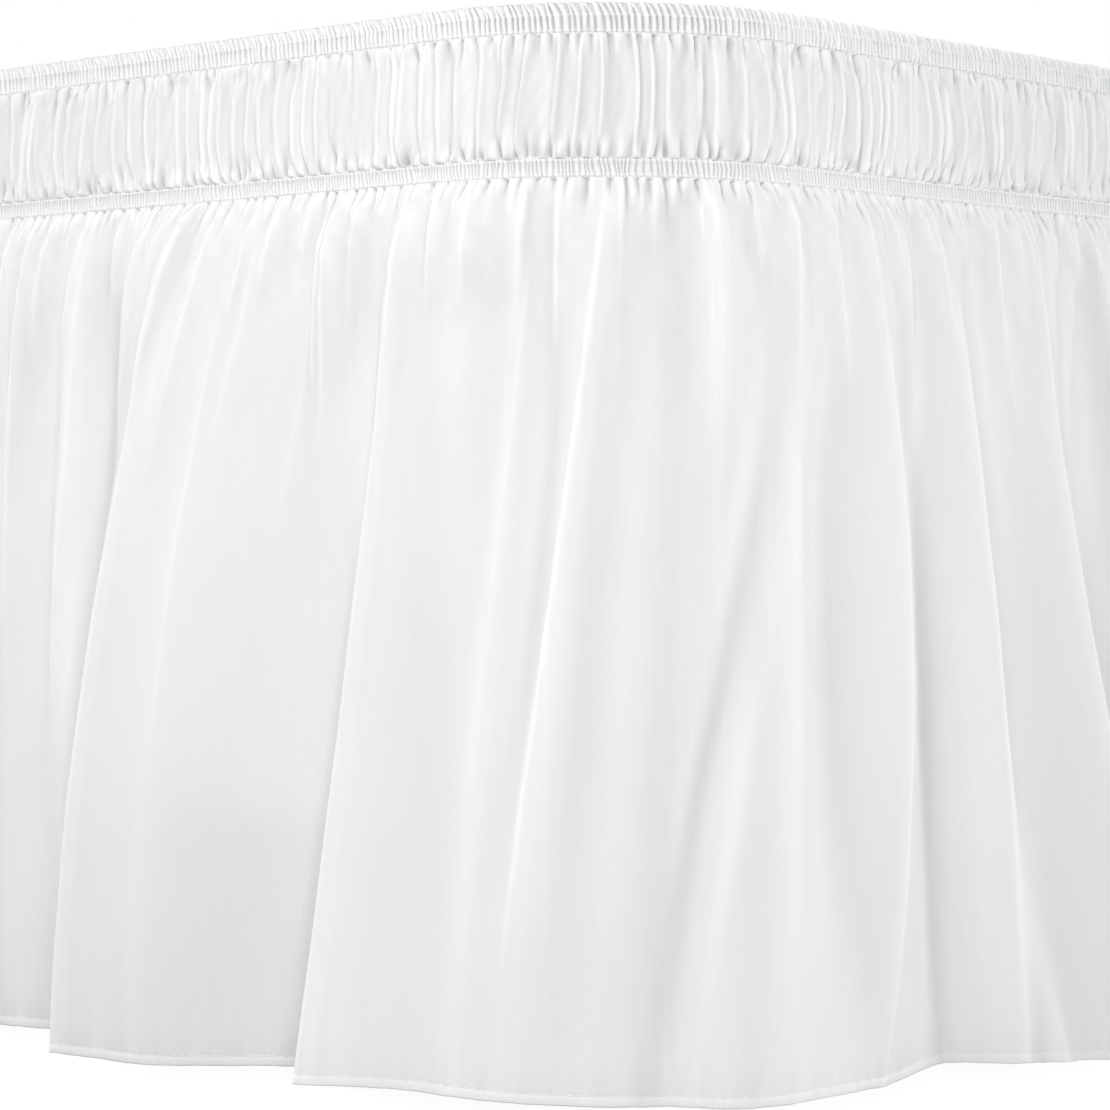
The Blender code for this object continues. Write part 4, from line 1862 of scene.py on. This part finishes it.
@dataclass
class Studio:
    """A pale floor, soft light and the camera."""

    camera_place: Triple = (1.2674, -1.8609, 0.2358)
    camera_turn: Triple = (90 - 1.162, 0.0, 42.062)
    lens: float = 108.04
    sensor: float = 36.0
    floor_reach: float = 30.0
    floor_glow: float = 0.93
    backdrop_glow: float = 1.0
    sky_low: float = 0.28
    sky_high: float = 0.36

    def build(self) -> None:
        """Build the floor, the light and the camera."""
        self._floor()
        self._backdrop()
        self._sky()
        for lamp in LAMPS:
            self._hang(lamp)
        self._camera()
        bpy.context.scene.view_settings.view_transform = "Standard"

    def _camera(self) -> None:
        """Stand the camera where the photograph's was."""
        view = bpy.data.cameras.new("camera")
        view.lens = self.lens
        view.sensor_width = self.sensor
        camera = bpy.data.objects.new("camera", view)
        camera.location = self.camera_place
        camera.rotation_euler = [math.radians(angle) for angle in self.camera_turn]
        bpy.context.scene.collection.objects.link(camera)
        bpy.context.scene.camera = camera

    def _floor(self) -> None:
        """Lay the floor, a pale lit table that lights nothing above it."""
        shape = bmesh.new()
        bmesh.ops.create_grid(shape, x_segments=1, y_segments=1, size=self.floor_reach)
        finish = StageFinish("pale_floor", (0.25, 0.25, 0.25), roughness=0.9,
                             glow=self.floor_glow).make()
        self._set_apart(bmesh_piece("floor", shape, finish))

    def _backdrop(self) -> None:
        """Hang a white backdrop all round, which lights nothing."""
        shape = bmesh.new()
        bmesh.ops.create_icosphere(shape, subdivisions=3, radius=self.floor_reach)
        bmesh.ops.reverse_faces(shape, faces=shape.faces)
        finish = StageFinish("white_backdrop", (0.0, 0.0, 0.0), roughness=1.0,
                             glow=self.backdrop_glow).make()
        self._set_apart(bmesh_piece("backdrop", shape, finish))

    def _set_apart(self, piece: bpy.types.Object) -> None:
        """Set a piece of the stage apart, so that the camera sees it and it lights nothing.

        Args:
            piece: The floor or the backdrop.
        """
        piece.visible_diffuse = False
        piece.visible_glossy = False
        piece.visible_shadow = False

    def _sky(self) -> None:
        """Light the scene softly from all round, most from above and least from below."""
        world = bpy.data.worlds.new("studio")
        bpy.context.scene.world = world
        world.use_nodes = True
        bench = NodeBench(world.node_tree)
        place = bench.node("ShaderNodeTexCoord").outputs["Generated"]
        height = bench.node("ShaderNodeSeparateXYZ", None, {0: place}).outputs["Z"]
        ramp = bench.node("ShaderNodeMapRange", None, {
            "Value": height, "From Min": -1.0, "From Max": 1.0,
            "To Min": self.sky_low, "To Max": self.sky_high})
        shine = bench.tree.nodes["Background"]
        bench.feed(shine.inputs["Strength"], ramp.outputs["Result"])
        bench.feed(shine.inputs["Color"], WHITE)

    def _hang(self, lamp: Lamp) -> None:
        """Hang one soft lamp, turned to what it faces.

        Args:
            lamp: The lamp.
        """
        light = bpy.data.lights.new(lamp.name, "AREA")
        light.shape = "RECTANGLE"
        light.size, light.size_y = lamp.size
        light.energy = lamp.power
        hung = bpy.data.objects.new(lamp.name, light)
        hung.location = lamp.place
        facing = Vector(lamp.target) - Vector(lamp.place)
        hung.rotation_euler = facing.to_track_quat("-Z", "Y").to_euler()
        bpy.context.scene.collection.objects.link(hung)


def main() -> None:
    """Build every piece, then the studio."""
    logging.basicConfig(level=logging.INFO, format="%(message)s")
    ring = Ring()
    BoxSpring(ring).build(Ticking().make())
    wood = StainedBeech().make()
    for name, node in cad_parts.items():
        if name.startswith("leg_"):
            node.data.materials.clear()
            node.data.materials.append(wood)
            LOG.info("%s: stained beech on its solid", name)
    Skirt(ring).build()
    Studio().build()


if __name__ == "__main__":
    main()
